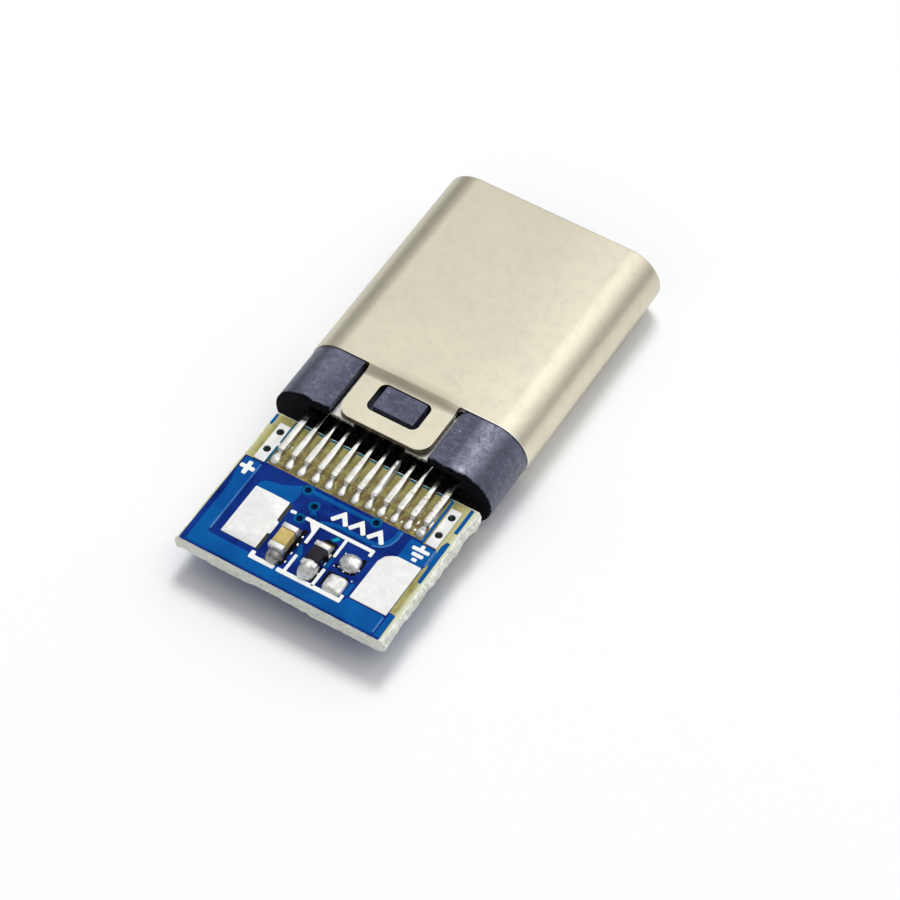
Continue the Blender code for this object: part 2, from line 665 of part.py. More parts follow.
def split_insulator(sleeve, frame):
    """Cuts the upper and the right piece from the sleeve, and turns each for the one across from it."""
    half = MOUTH_HEIGHT / 2
    above = (-SHELL_WIDTH, SHELL_WIDTH, 0.0, MOUTH, MID + half, SHELL_HEIGHT)
    beside = (0.0, SHELL_WIDTH, 0.0, MOUTH, MID - half + CLEARANCE, MID + half - CLEARANCE)
    for here, across, bounds in (("upper", "lower", above), ("right", "left", beside)):
        piece = place(f"front_insulator_{here}", sleeve.data.copy(), frame)
        combine(piece, boxes(f"{here}_share", [bounds]), frame, "INTERSECT")
        mesh = settle(piece)
        place(f"front_insulator_{across}", mesh, frame, upside_down=True)
    bpy.data.objects.remove(sleeve, do_unlink=True)


def finger_places():
    pitch = (SPRING_WIDTH - 2 * SPRING_BAR) / FINGER_COUNT
    return [(i - (FINGER_COUNT - 1) / 2) * pitch for i in range(FINGER_COUNT)]


def finger_level(share):
    """A finger's level at a share of its length: down to the touch point, then up at its tip."""
    dip = SPRING_LEVEL - FINGER_LEVEL
    if share < FINGER_TOUCH:
        return SPRING_LEVEL - dip * math.sin(math.pi / 2 * share / FINGER_TOUCH) ** 2
    return FINGER_LEVEL + FINGER_TIP_RISE * (share - FINGER_TOUCH) / (1 - FINGER_TOUCH)


def make_ground_springs(frame):
    """A stamped frame as a grid of cells, some left out, some bent into fingers."""
    half = SPRING_WIDTH / 2
    finger_root = SPRING_REAR + SPRING_REAR_BAR
    shares = (0.0, 0.18, 0.36, 0.54, 0.72, 0.86, 1.0)
    rows = [(SPRING_REAR, SPRING_LEVEL)]
    rows += [(finger_root + share * FINGER_LENGTH, finger_level(share)) for share in shares]
    rows += [(SPRING_FRONT - SPRING_BAR, SPRING_LEVEL), (SPRING_FRONT, SPRING_LEVEL)]
    columns = [(-half, False), (-half + SPRING_BAR, False)]
    for x in finger_places():
        columns += [(x - FINGER_WIDTH / 2, True), (x + FINGER_WIDTH / 2, True)]
    columns += [(half - SPRING_BAR, False), (half, False)]
    last_row = len(rows) - 2
    last_column = len(columns) - 2

    def kept(column, row):
        if row in (0, last_row) or column in (0, last_column):
            return True
        return columns[column][1] and columns[column + 1][1] and column % 2 == 0 and row < last_row - 1

    mesh = stamped_sheet("ground_spring", columns, rows, kept)
    place("ground_spring_top", mesh, frame, "plate_steel")
    place("ground_spring_bottom", mesh, frame, upside_down=True)


def stamped_sheet(name, columns, rows, kept):
    """A sheet of the kept cells of a grid. A column that bends follows each row's own level."""
    shape = bmesh.new()
    corners = {}

    def corner(column, row, side):
        key = (column, row, side)
        if key not in corners:
            x, bends = columns[column]
            y, level = rows[row]
            z = MID + (level if bends else SPRING_LEVEL) + side * SPRING_THICKNESS / 2
            corners[key] = shape.verts.new((x, y, z))
        return corners[key]

    cells = [(c, r) for c in range(len(columns) - 1) for r in range(len(rows) - 1) if kept(c, r)]
    for c, r in cells:
        edge = ((c, r), (c + 1, r), (c + 1, r + 1), (c, r + 1))
        for side in (-1, 1):
            shape.faces.new([corner(*crossing, side) for crossing in edge])
        neighbours = ((c, r - 1), (c + 1, r), (c, r + 1), (c - 1, r))
        for i, neighbour in enumerate(neighbours):
            if neighbour not in cells:
                a = edge[i]
                b = edge[(i + 1) % 4]
                shape.faces.new([corner(*a, -1), corner(*b, -1), corner(*b, 1), corner(*a, 1)])
    bmesh.ops.recalc_face_normals(shape, faces=shape.faces)
    mesh = bpy.data.meshes.new(name)
    shape.to_mesh(mesh)
    shape.free()
    return mesh


def hole(name, x, y, diameter):
    """A round cutter through the whole board."""
    outline = arc(x, y, diameter / 2, 0, 360 - 360 / HOLE_SIDES, HOLE_SIDES - 1)
    return prism(name, outline, "Z", MID - BOARD_THICKNESS, MID + BOARD_THICKNESS)


def anchor_holes():
    """The plated holes of both anchor pads."""
    x = (ANCHOR_INNER + ANCHOR_OUTER) / 2
    middle = BOARD_FAR - ANCHOR_PAD_SETBACK - ANCHOR_PAD_LENGTH / 2 + ANCHOR_HOLE_SHIFT
    offset = ANCHOR_HOLE_PITCH / 2
    return [(BOARD_SHIFT + side * x, middle + end * offset) for side in (-1, 1) for end in (-1, 1)]


def via_holes():
    """Small plated holes, placed across from the capacitor and back from the board's far edge."""
    return [(CAPACITOR_X + x, BOARD_FAR - y) for x, y in zip(VIA_ACROSS, VIA_SETBACK)]


def make_board(frame):
    """The board, a little off the contacts' middle: scored side edges, contact pads and holes."""
    half = BOARD_WIDTH / 2
    web = SCORE_WEB / 2
    section = [
        (half, -BOARD_TOP), (half + SCORE_DEPTH, -web), (half + SCORE_DEPTH, web), (half, BOARD_TOP),
        (-half, BOARD_TOP), (-half - SCORE_DEPTH, web), (-half - SCORE_DEPTH, -web), (-half, -BOARD_TOP),
    ]
    rings = [[(BOARD_SHIFT + x, y, MID + z) for x, z in section] for y in (BOARD_NEAR, BOARD_FAR)]
    board = place("circuit_board", loft("circuit_board", rings), frame, "board_laminate")
    pad_far = BOARD_FAR - CONTACT_PAD_SETBACK
    pads = [
        (x - CONTACT_PAD_WIDTH / 2, x + CONTACT_PAD_WIDTH / 2, pad_far - CONTACT_PAD_LENGTH, pad_far,
         MID - BOARD_TOP - PAD_RELIEF, MID + BOARD_TOP + PAD_RELIEF)
        for _, x in contact_places()
    ]
    combine(board, boxes("contact_pads", pads), frame, "UNION")
    for x, y in anchor_holes():
        combine(board, hole("anchor_hole", x, y, ANCHOR_HOLE), frame)
    for x, y in via_holes():
        combine(board, hole("via_hole", x, y, VIA_HOLE), frame)
    settle(board)


def make_pads(frame):
    """Two anchor pads with plated holes, and two large pads that wires are soldered to."""
    low = MID + BOARD_TOP + CLEARANCE
    high = low + PAD_THICKNESS
    far = BOARD_FAR - ANCHOR_PAD_SETBACK
    for name, side in (("anchor_pad_left", -1), ("anchor_pad_right", 1)):
        x0, x1 = sorted(BOARD_SHIFT + side * x for x in (ANCHOR_INNER, ANCHOR_OUTER))
        pad = place(name, boxes(name, [(x0, x1, far - ANCHOR_PAD_LENGTH, far, low, high)]), frame,
                    "tinned_pad")
        for x, y in anchor_holes():
            if x * side > 0:
                combine(pad, hole("pad_hole", x, y, ANCHOR_HOLE), frame)
        settle(pad)
    near = BOARD_NEAR + WIRE_PAD_MARGIN
    wire_far = near + WIRE_PAD_LENGTH
    left = BOARD_SHIFT - BOARD_WIDTH / 2 + POSITIVE_PAD_INSET
    outline = [(left, near), (left + WIRE_PAD_WIDTH, near), (left + WIRE_PAD_WIDTH, wire_far), (left, wire_far)]
    place("wire_pad_positive", prism("wire_pad_positive", outline, "Z", low, high), frame, "tinned_pad")
    right = BOARD_SHIFT + ANCHOR_OUTER
    left = right - WIRE_PAD_WIDTH
    outline = [(left, near), (right, near), (right, wire_far)]
    outline += arc(left + WIRE_PAD_CORNER, wire_far - WIRE_PAD_CORNER, WIRE_PAD_CORNER, 90, 180)
    place("wire_pad_ground", prism("wire_pad_ground", outline, "Z", low, high), frame, "tinned_pad")


def make_chip(frame, name, x, height, finish):
    """A chip part lying along Y: its body and the two metal ends that are soldered down."""
    low = MID + BOARD_TOP + CHIP_STANDOFF
    half = CHIP_LENGTH / 2
    body_half = half - CHIP_END
    spans = (
        (f"{name}_body", -body_half + CLEARANCE, body_half - CLEARANCE, finish),
        (f"{name}_end_near", -half, -body_half, "chip_end"),
        (f"{name}_end_far", body_half, half, "chip_end"),
    )
    for piece, y0, y1, slot in spans:
        grow = CHIP_BEVEL if slot == "chip_end" else 0.0
        bounds = (
            x - CHIP_WIDTH / 2 - grow, x + CHIP_WIDTH / 2 + grow, CHIP_Y + y0, CHIP_Y + y1,
            low - grow, low + height + grow,
        )
        obj = place(piece, boxes(piece, [bounds]), frame, slot)
        bevel = obj.modifiers.new("edges", "BEVEL")
        bevel.width = CHIP_BEVEL
        bevel.segments = 2
        settle(obj)


def main():
    clear_scene()
    frame = bpy.data.objects.new("plug_frame", None)
    bpy.context.scene.collection.objects.link(frame)
    frame.location.y = -(MOUTH + BOARD_NEAR) / 2
    bpy.context.view_layer.update()
    make_shell(frame)
    make_housing(frame)
    make_ground_plates(frame)
    make_holders(frame)
    make_latch_plate(frame)
    make_insulator(frame)
    make_ground_springs(frame)
    make_contacts(frame)
    make_board(frame)
    make_pads(frame)
    make_chip(frame, "capacitor", CAPACITOR_X, CAPACITOR_HEIGHT, "capacitor_ceramic")
    make_chip(frame, "resistor", CAPACITOR_X + CHIP_SPACING, RESISTOR_HEIGHT, "resistor_glaze")


main()
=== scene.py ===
"""The dressed USB-C plug: a finer shell and housing, solder, mask relief, print and materials.

Lengths are in millimetres in the plug's own space: X across, Y counted from the housing's rear
face and growing towards the mouth, Z up from the shell's underside. to_row turns them into the
row's metres. The underside repeats the upper side, turned half round the plug's long axis.
"""

import math
import random

import bmesh
import bpy
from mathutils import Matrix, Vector, noise


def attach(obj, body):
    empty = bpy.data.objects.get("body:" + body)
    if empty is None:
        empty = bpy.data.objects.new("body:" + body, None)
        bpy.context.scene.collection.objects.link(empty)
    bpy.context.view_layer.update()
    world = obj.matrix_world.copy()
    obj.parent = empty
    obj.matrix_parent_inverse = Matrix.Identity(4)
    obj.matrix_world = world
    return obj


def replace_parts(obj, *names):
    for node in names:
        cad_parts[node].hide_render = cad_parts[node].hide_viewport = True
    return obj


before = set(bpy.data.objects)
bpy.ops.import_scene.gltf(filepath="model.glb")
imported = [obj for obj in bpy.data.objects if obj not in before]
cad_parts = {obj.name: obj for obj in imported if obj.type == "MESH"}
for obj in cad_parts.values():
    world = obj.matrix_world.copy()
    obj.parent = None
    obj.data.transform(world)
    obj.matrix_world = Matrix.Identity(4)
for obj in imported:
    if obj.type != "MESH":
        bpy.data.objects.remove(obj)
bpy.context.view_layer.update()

# noise_vector follows this seed, which is the clock's time until it is set.
noise.seed_set(5)

MM = 0.001
WELD = 0.0002
CLEARANCE = 0.01
SHIFT = -2.365  # the housing's rear face in the row's Y
WIDTH = 8.25
HEIGHT = 2.4
MID = HEIGHT / 2
WALL = 0.22
SHELL_REAR = 2.28
MOUTH = 10.93
TONGUE = (-1.84, 1.54, 0.14)  # left, right and rear edge
TONGUE_CORNER = 0.5
TONGUE_DROP = 0.12
TONGUE_BEND = 0.4
WINDOW = (-1.115, 0.815, 0.73, 1.91)
BUMP = (-0.925, 0.625, 0.9, 1.88)
WING_SLOT = (-2.025, 1.725)
RECESS_FLOOR = 1.89
BOARD = (-3.72, 3.86, -6.2, -0.4)
BOARD_TOP = 1.5
BOARD_BOTTOM = 0.9
SIDES = (("top", False), ("bottom", True))
CONTACTS = 12
PITCH = 0.5
CRESTED = 7  # the contact whose solder climbs its tail
MASK_LINE = -2.3
VIAS = ((-1.16, -2.53), (-0.64, -2.97), (-0.79, -3.6), (1.37, -2.47))
VIA_HOLE = 0.11
MASK_HOLE = VIA_HOLE + 0.012
ANCHOR_HOLES = ((-3.175, -1.075), (-3.175, -1.855), (3.315, -1.075), (3.315, -1.855))
ANCHOR_HOLE = 0.13
CAPACITOR_X = -0.67
RESISTOR_X = 0.54
# Heights at which coats on the board start, so that none share a plane
COAT = 1.499
PRINT = 1.503
RELIEF = 1.505


# Geometry helpers

def to_row(point, under=False):
    x, y, z = point
    if under:
        x, z = -x, HEIGHT - z
    return (x * MM, (y + SHIFT) * MM, z * MM)


def make_mesh(name, points, faces, under=False):
    mesh = bpy.data.meshes.new(name)
    mesh.from_pydata([to_row(p, under) for p in points], [], faces)
    shape = bmesh.new()
    shape.from_mesh(mesh)
    bmesh.ops.recalc_face_normals(shape, faces=shape.faces)
    shape.to_mesh(mesh)
    shape.free()
    return mesh


def link_object(name, data):
    obj = bpy.data.objects.new(name, data)
    bpy.context.scene.collection.objects.link(obj)
    return obj


def add_piece(name, mesh, finish, smooth=None):
    """A piece on the root body. smooth is the angle in degrees beyond which an edge stays sharp."""
    obj = link_object(name, mesh)
    for one in finish if isinstance(finish, list) else [finish]:
        mesh.materials.append(one)
    if smooth is not None:
        mesh.shade_smooth()
        mesh.set_sharp_from_angle(angle=math.radians(smooth))
        obj.modifiers.new("normals", "WEIGHTED_NORMAL").keep_sharp = True
    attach(obj, "root")
    return obj


def rect(x0, x1, y0, y1):
    return [(x0, y0), (x1, y0), (x1, y1), (x0, y1)]


def arc(x, y, radius, start, end, steps=10):
    angles = [math.radians(start + (end - start) * i / steps) for i in range(steps + 1)]
    return [(x + radius * math.cos(a), y + radius * math.sin(a)) for a in angles]


def rounded_rectangle(x0, x1, y0, y1, r, steps=8):
    return (
        arc(x1 - r, y1 - r, r, 0, 90, steps) + arc(x0 + r, y1 - r, r, 90, 180, steps)
        + arc(x0 + r, y0 + r, r, 180, 270, steps) + arc(x1 - r, y0 + r, r, 270, 360, steps)
    )


def loft(name, rings, hollow=False, under=False):
    size = len(rings[0])
    points = [p for ring in rings for p in ring]
    faces = []
    for span in range(len(rings) if hollow else len(rings) - 1):
        a = span * size
        b = (span + 1) % len(rings) * size
        for i in range(size):
            j = (i + 1) % size
            faces.append((a + i, a + j, b + j, b + i))
    if not hollow:
        faces += [tuple(range(size)), tuple(range(len(points) - size, len(points)))]
    return make_mesh(name, points, faces, under)


def prism(outline, z0, z1, under=False):
    return loft("tool", [[(x, y, z) for x, y in outline] for z in (z0, z1)], under=under)


def block(x0, x1, y0, y1, z0, z1):
    return prism(rect(x0, x1, y0, y1), z0, z1)


def section(y, inset):
    """The shell's outline with round ends at a place along it."""
    steps = 40
    reach = (WIDTH - HEIGHT) / 2
    radius = MID - inset
    ring = []
    for side in (1, -1):
        for i in range(steps + 1):
            a = math.pi * (i / steps - 0.5)
            ring.append((side * (reach + radius * math.cos(a)), y, MID + side * radius * math.sin(a)))
    return ring


def baked(obj):
    """The object's mesh with its modifiers applied; the object itself goes."""
    bpy.context.view_layer.update()
    graph = bpy.context.evaluated_depsgraph_get()
    mesh = bpy.data.meshes.new_from_object(obj.evaluated_get(graph))
    bpy.data.objects.remove(obj, do_unlink=True)
    return mesh


def carve(mesh, tools):
    """The mesh after Boolean steps. tools are pairs of mesh and operation."""
    obj = link_object("carving", mesh)
    helpers = []
    for tool, operation in tools:
        helpers.append(link_object("tool", tool))
        step = obj.modifiers.new("step", "BOOLEAN")
        step.operation = operation
        step.solver = "EXACT"
        step.object = helpers[-1]
    mesh = baked(obj)
    for helper in helpers:
        bpy.data.objects.remove(helper, do_unlink=True)
    return mesh


def round_edges(obj, width, angle, miter="MITER_SHARP"):
    """Welds a piece and rounds its edges that are sharper than an angle in degrees."""
    obj.modifiers.new("weld", "WELD").merge_threshold = WELD * MM
    if width:
        bevel = obj.modifiers.new("bevel", "BEVEL")
        bevel.width = width * MM
        bevel.segments = 3
        bevel.limit_method = "ANGLE"
        bevel.angle_limit = math.radians(angle)
        bevel.miter_outer = miter


def rounded(mesh, width, angle):
    """The mesh with its sharp edges rounded."""
    obj = link_object("rounding", mesh)
    round_edges(obj, width, angle, "MITER_ARC")
    return baked(obj)


def counterclockwise(loop):
    area = sum(a[0] * b[1] - b[0] * a[1] for a, b in zip(loop, loop[1:] + loop[:1])) / 2
    return list(loop) if area > 0 else loop[::-1]


def offset(loop, inset):
    """A counterclockwise loop moved inwards by an inset, or outwards where it is negative."""
    moved = []
    for i, here in enumerate(loop):
        before = Vector(loop[i - 1])
        after = Vector(loop[(i + 1) % len(loop)])
        here = Vector(here)
        first = (here - before).normalized()
        second = (after - here).normalized()
        left = Vector((-first.y - second.y, first.x + second.x))
        if left.length < 1e-6:
            left = Vector((-first.y, first.x))
        left.normalize()
        reach = inset / max(left.dot(Vector((-first.y, first.x))), 0.35)
        moved.append(tuple(here + left * reach))
    return moved


def densify(loop, step):
    points = []
    for a, b in zip(loop, loop[1:] + loop[:1]):
        count = max(1, math.ceil(math.dist(a, b) / step))
        for i in range(count):
            points.append((a[0] + (b[0] - a[0]) * i / count, a[1] + (b[1] - a[1]) * i / count))
    return points


def soften(loop, radius, steps=5):
    """Rounds a loop's corners by a radius, or by what its sides have room for."""
    loop = counterclockwise(loop)
    points = []
    for i, here in enumerate(loop):
        here = Vector(here)
        before = Vector(loop[i - 1]) - here
        after = Vector(loop[(i + 1) % len(loop)]) - here
        room = min(radius, before.length * 0.45, after.length * 0.45)
        start = here + before.normalized() * room
        end = here + after.normalized() * room
        for k in range(steps + 1):
            t = k / steps
            points.append(tuple(start * (1 - t) ** 2 + here * 2 * t * (1 - t) + end * t ** 2))
    return points


def sheet(name, shapes, levels, under=False, shake=None, hole_index=0, top_index=0, step=0):
    """Flat shapes in one mesh. A shape is an outline, or an outline with its holes.

    Levels are height and inset. Neighbours differ in height by the step, so that shapes that
    cross don't share a plane.
    """
    shape = bmesh.new()
    for turn, flat in enumerate(shapes):
        outline, holes = flat if isinstance(flat, tuple) else (flat, [])
        lift = step * (turn % 4)
        rims = {0: [], len(levels) - 1: []}
        for number, loop in enumerate([outline, *holes]):
            loop = counterclockwise(loop)
            sign = 1 if number == 0 else -1
            rings = []
            for z, inset in levels:
                ring = []
                for x, y in offset(loop, sign * inset):
                    point = (x, y, z + lift)
                    if shake and number == 0:
                        point = shake(point)
                    ring.append(shape.verts.new(to_row(point, under)))
                rings.append(ring)
            size = len(loop)
            for low, high in zip(rings, rings[1:]):
                for i in range(size):
                    j = (i + 1) % size
                    face = shape.faces.new((low[i], low[j], high[j], high[i]))
                    face.material_index = hole_index if number else 0
            for level in rims:
                ring = rings[level]
                rims[level] += [shape.edges.get((ring[i], ring[(i + 1) % size])) for i in range(size)]
        for level, edges in rims.items():
            made = bmesh.ops.triangle_fill(shape, edges=edges, use_beauty=True)
            for face in made["geom"]:
                if isinstance(face, bmesh.types.BMFace):
                    face.material_index = top_index
    bmesh.ops.recalc_face_normals(shape, faces=shape.faces)
    mesh = bpy.data.meshes.new(name)
    shape.to_mesh(mesh)
    shape.free()
    return mesh


def coat(name, shapes, levels, finish, smooth=None, under=False, step=0):
    """A sheet as a piece on the board."""
    return add_piece(name, sheet(name, shapes, levels, under, step=step), finish, smooth)


def circle(x, y, radius):
    steps = 24
    return arc(x, y, radius, 0, 360 - 360 / steps, steps - 1)


def stroke(points, width):
    """A band along a line with slightly rounded ends, for printed ink."""
    left = []
    right = []
    half = width / 2
    points = [Vector(p) for p in points]
    for i, here in enumerate(points):
        before = points[max(i - 1, 0)]
        after = points[min(i + 1, len(points) - 1)]
        along = (after - before).normalized()
        side = Vector((-along.y, along.x))
        reach = half
        if 0 < i < len(points) - 1:
            first = (here - before).normalized()
            reach = half / max(side.dot(Vector((-first.y, first.x))), 0.4)
        left.append(tuple(here + side * reach))
        right.append(tuple(here - side * reach))
    return soften(left + right[::-1], width * 0.35, 4)


def wobble(point, scale, seed, amount):
    """A smooth random offset in three axes."""
    sample = Vector((point[0] * scale + seed * 7.31, point[1] * scale + seed * 3.17, point[2] * scale))
    return noise.noise_vector(sample) * amount


# Material helpers

def tone_ramp(tree, factor, stops, tint=(1, 1, 1)):
    made = tree.nodes.new("ShaderNodeValToRGB")
    elements = made.color_ramp.elements
    while len(elements) < len(stops):
        elements.new(0.5)
    for element, (place, tone) in zip(elements, stops):
        element.position = place
        element.color = (*(tone * share for share in tint), 1)
    tree.links.new(factor, made.inputs["Fac"])
    return made.outputs["Color"]


class Finish:
    """A node material round one Principled shader. Its textures are laid out in millimetres."""

    def __init__(self, name, color, rough, metal=0, **sockets):
        self.material = bpy.data.materials.new(name)
        self.material.use_nodes = True
        self.tree = self.material.node_tree
        self.shader = self.tree.nodes["Principled BSDF"]
        self.shader.inputs["Base Color"].default_value = (*color, 1)
        self.shader.inputs["Roughness"].default_value = rough
        self.shader.inputs["Metallic"].default_value = metal
        for key, value in sockets.items():
            self.shader.inputs[key.replace("_", " ")].default_value = value
        place = self.node("TexCoord", "Object", {})
        self.space = self.node("VectorMath", 0, {0: place, "Scale": 1 / MM}, operation="SCALE")
        self.normal = None

    def node(self, kind, output, feeds, **settings):
        """An output of a new node, fed with sockets, colours or numbers."""
        made = self.tree.nodes.new(f"ShaderNode{kind}")
        for key, value in settings.items():
            setattr(made, key, value)
        for key, value in feeds.items():
            socket = made.inputs[key]
            if isinstance(value, bpy.types.NodeSocket):
                self.tree.links.new(value, socket)
            else:
                socket.default_value = (*value, 1) if socket.type == "RGBA" else value
        return made.outputs[output]

    def wire(self, name, socket):
        self.tree.links.new(socket, self.shader.inputs[name])

    def noise(self, scale, detail=4.0, stretch=(1, 1, 1), distortion=0, rough=0.55):
        vector = self.space
        if stretch != (1, 1, 1):
            vector = self.node("Mapping", 0, {"Vector": vector, "Scale": stretch})
        return self.node("TexNoise", 0, {
            "Vector": vector, "Scale": scale, "Detail": detail, "Roughness": rough, "Distortion": distortion,
        })

    def axis(self, name):
        return self.node("SeparateXYZ", name, {0: self.space})

    def spread(self, value, low, high, to_low=0, to_high=1):
        return self.node("MapRange", 0, {
            "Value": value, "From Min": low, "From Max": high, "To Min": to_low, "To Max": to_high,
        })

    def along(self, name, low, high, to_low=0, to_high=1):
        """Spreads one axis of the plug's own space."""
        start = SHIFT if name == "Y" else 0.0
        return self.spread(self.axis(name), start + low, start + high, to_low, to_high)

    def ramp(self, factor, *stops):
        """Stops are place and value, from 0 to 1."""
        return tone_ramp(self.tree, factor, stops)

    def mix(self, factor, a, b, blend="MIX"):
        return self.node("Mix", 2, {0: factor, 6: a, 7: b}, data_type="RGBA", blend_type=blend)

    def times(self, a, b):
        return self.mix(1, a, b, "MULTIPLY")

    def paint(self, tone, *layers):
        """The base colour: a tone, and over it layers of share and colour."""
        for share, color in layers:
            tone = self.mix(share, tone, color)
        self.wire("Base Color", tone)

    def gloss(self, value, low, high, start=0.3, end=0.7):
        """A roughness that follows a noise."""
        self.wire("Roughness", self.spread(value, start, end, low, high))

    def bump(self, height, depth, strength=0.5):
        """Adds relief of a depth in millimetres."""
        feeds = {"Strength": strength, "Distance": depth * MM, "Height": height}
        if self.normal is not None:
            feeds["Normal"] = self.normal
        self.normal = self.node("Bump", 0, feeds)
        self.wire("Normal", self.normal)


def nickel_finish():
    """Satin plating: faint clouds and a fine grain along the drawing direction, with painted shade at the
    tongue's bend, on the left, towards the mouth and on the tongue's cut edges, and painted highlights near
    the right shoulder and on the right of the rear rim.
    """
    f = Finish("satin_nickel", (0.68, 0.635, 0.5), 0.3, 1)
    cloud = f.noise(0.45, 3.0)
    grain = f.noise(9.0, 6.0, (3.0, 0.5, 3.0), rough=0.7)
    fine = f.noise(34.0, 3.0)
    mottle = f.noise(2.6, 5.0, distortion=0.4, rough=0.65)
    # Painted highlight: lighter on the top near the right shoulder.
    right_shoulder_highlight = f.ramp(f.along("X", 0.8, 3.8), (0, 0), (0.66, 0.7), (0.78, 0.6), (0.92, 0))
    # Painted shade: a darker band across the tongue where it bends down.
    bend = f.ramp(f.along("Y", 1.9, 2.7), (0.06, 0), (0.26, 0.4), (0.46, 0.6), (0.58, 0.3), (0.95, 0))
    across = f.ramp(f.along("X", -2.0, 2.0), (0.02, 0), (0.3, 1), (0.75, 1), (0.95, 0))
    # Painted highlight: a bright line on the shell's rear rim at the right.
    rim_highlight = f.times(f.along("Y", SHELL_REAR + 0.02, SHELL_REAR + 0.05, 1, 0), f.along("X", 1.62, 1.72, 0, 0.9))
    level = f.node("Math", 0, {0: f.axis("Z"), 1: MID}, operation="SUBTRACT")
    height = f.node("Math", 0, {0: level}, operation="ABSOLUTE")
    top = MID - TONGUE_DROP
    # Painted shade: the tongue's cut edges and underside darkened.
    cut_edge_shade = f.times(f.spread(height, top - 0.05, top - 0.03, 1, 0), f.along("Y", 1.92, 1.96, 0.85, 0))
    f.paint(
        # Painted shade: the tone darkens towards the mouth and towards the left, most on the left flank.
        f.mix(f.along("Y", 0, MOUTH), (0.845, 0.79, 0.612), (0.692, 0.642, 0.5)),
        (right_shoulder_highlight, (0.88, 0.83, 0.655)),
        (f.along("X", -2.8, 3.4, 0.3, 0), (0.63, 0.59, 0.46)),
        (f.along("X", -4.0, -3.5, 0.55, 0), (0.47, 0.44, 0.35)),
        (f.spread(cloud, 0.3, 0.7, 0, 0.35), (0.62, 0.58, 0.46)),
        (f.spread(mottle, 0.46, 0.66, 0, 0.3), (0.585, 0.545, 0.43)),
        (f.times(bend, across), (0.32, 0.28, 0.18)),
        (f.spread(fine, 0.62, 0.8, 0, 0.3), (0.5, 0.46, 0.35)),
        (rim_highlight, (0.97, 0.95, 0.88)),
        (cut_edge_shade, (0.1, 0.085, 0.06)),
    )
    f.gloss(grain, 0.32, 0.43, 0.25, 0.75)
    f.bump(grain, 0.001)
    f.bump(fine, 0.0006, 0.4)
    return f.material


def steel_finish():
    """Plated plate, with the tongue's shadow painted dark on it round and under the shell's tongue."""
    f = Finish("plated_steel", (0.66, 0.65, 0.62), 0.24, 1)
    grain = f.noise(7.0, 5.0, (2.0, 0.8, 2.0))
    left, right, rear = TONGUE
    reach = 5
    middle = ((left + right) / 2, SHIFT + reach, MID)
    straight = ((right - left) / 2 - TONGUE_CORNER, reach - rear - TONGUE_CORNER, 9.0)
    size = f.node("VectorMath", 0, {0: f.space, 1: middle}, operation="SUBTRACT")
    size = f.node("VectorMath", 0, {0: size}, operation="ABSOLUTE")
    past = f.node("VectorMath", 0, {0: size, 1: straight}, operation="SUBTRACT")
    past = f.node("VectorMath", 0, {0: past, 1: (0, 0, 0)}, operation="MAXIMUM")
    far = f.node("VectorMath", "Value", {0: past}, operation="LENGTH")
    # Painted shadow: the plate goes dark under and round the tongue, more towards the right.
    painted_tongue_shadow = f.spread(far, TONGUE_CORNER, TONGUE_CORNER + 0.02, 1, 0)
    f.paint(
        f.mix(f.spread(f.noise(5.0, 5.0), 0.35, 0.65), (0.56, 0.55, 0.52), (0.74, 0.73, 0.7)),
        (f.times(painted_tongue_shadow, f.along("X", -1.8, 1.2, 0.35, 0.95)), (0.02, 0.02, 0.02)),
    )
    f.gloss(grain, 0.2, 0.34, 0.25, 0.75)
    f.bump(grain, 0.001, 0.3)
    return f.material


def spring_finish():
    f = Finish("spring_steel", (0.6, 0.59, 0.57), 0.34, 1)
    f.paint(f.mix(f.noise(2.0, 3.0), (0.52, 0.51, 0.49), (0.66, 0.65, 0.62)))
    f.gloss(f.noise(6.0, 3.0, (3.0, 0.5, 3.0)), 0.28, 0.4)
    return f.material


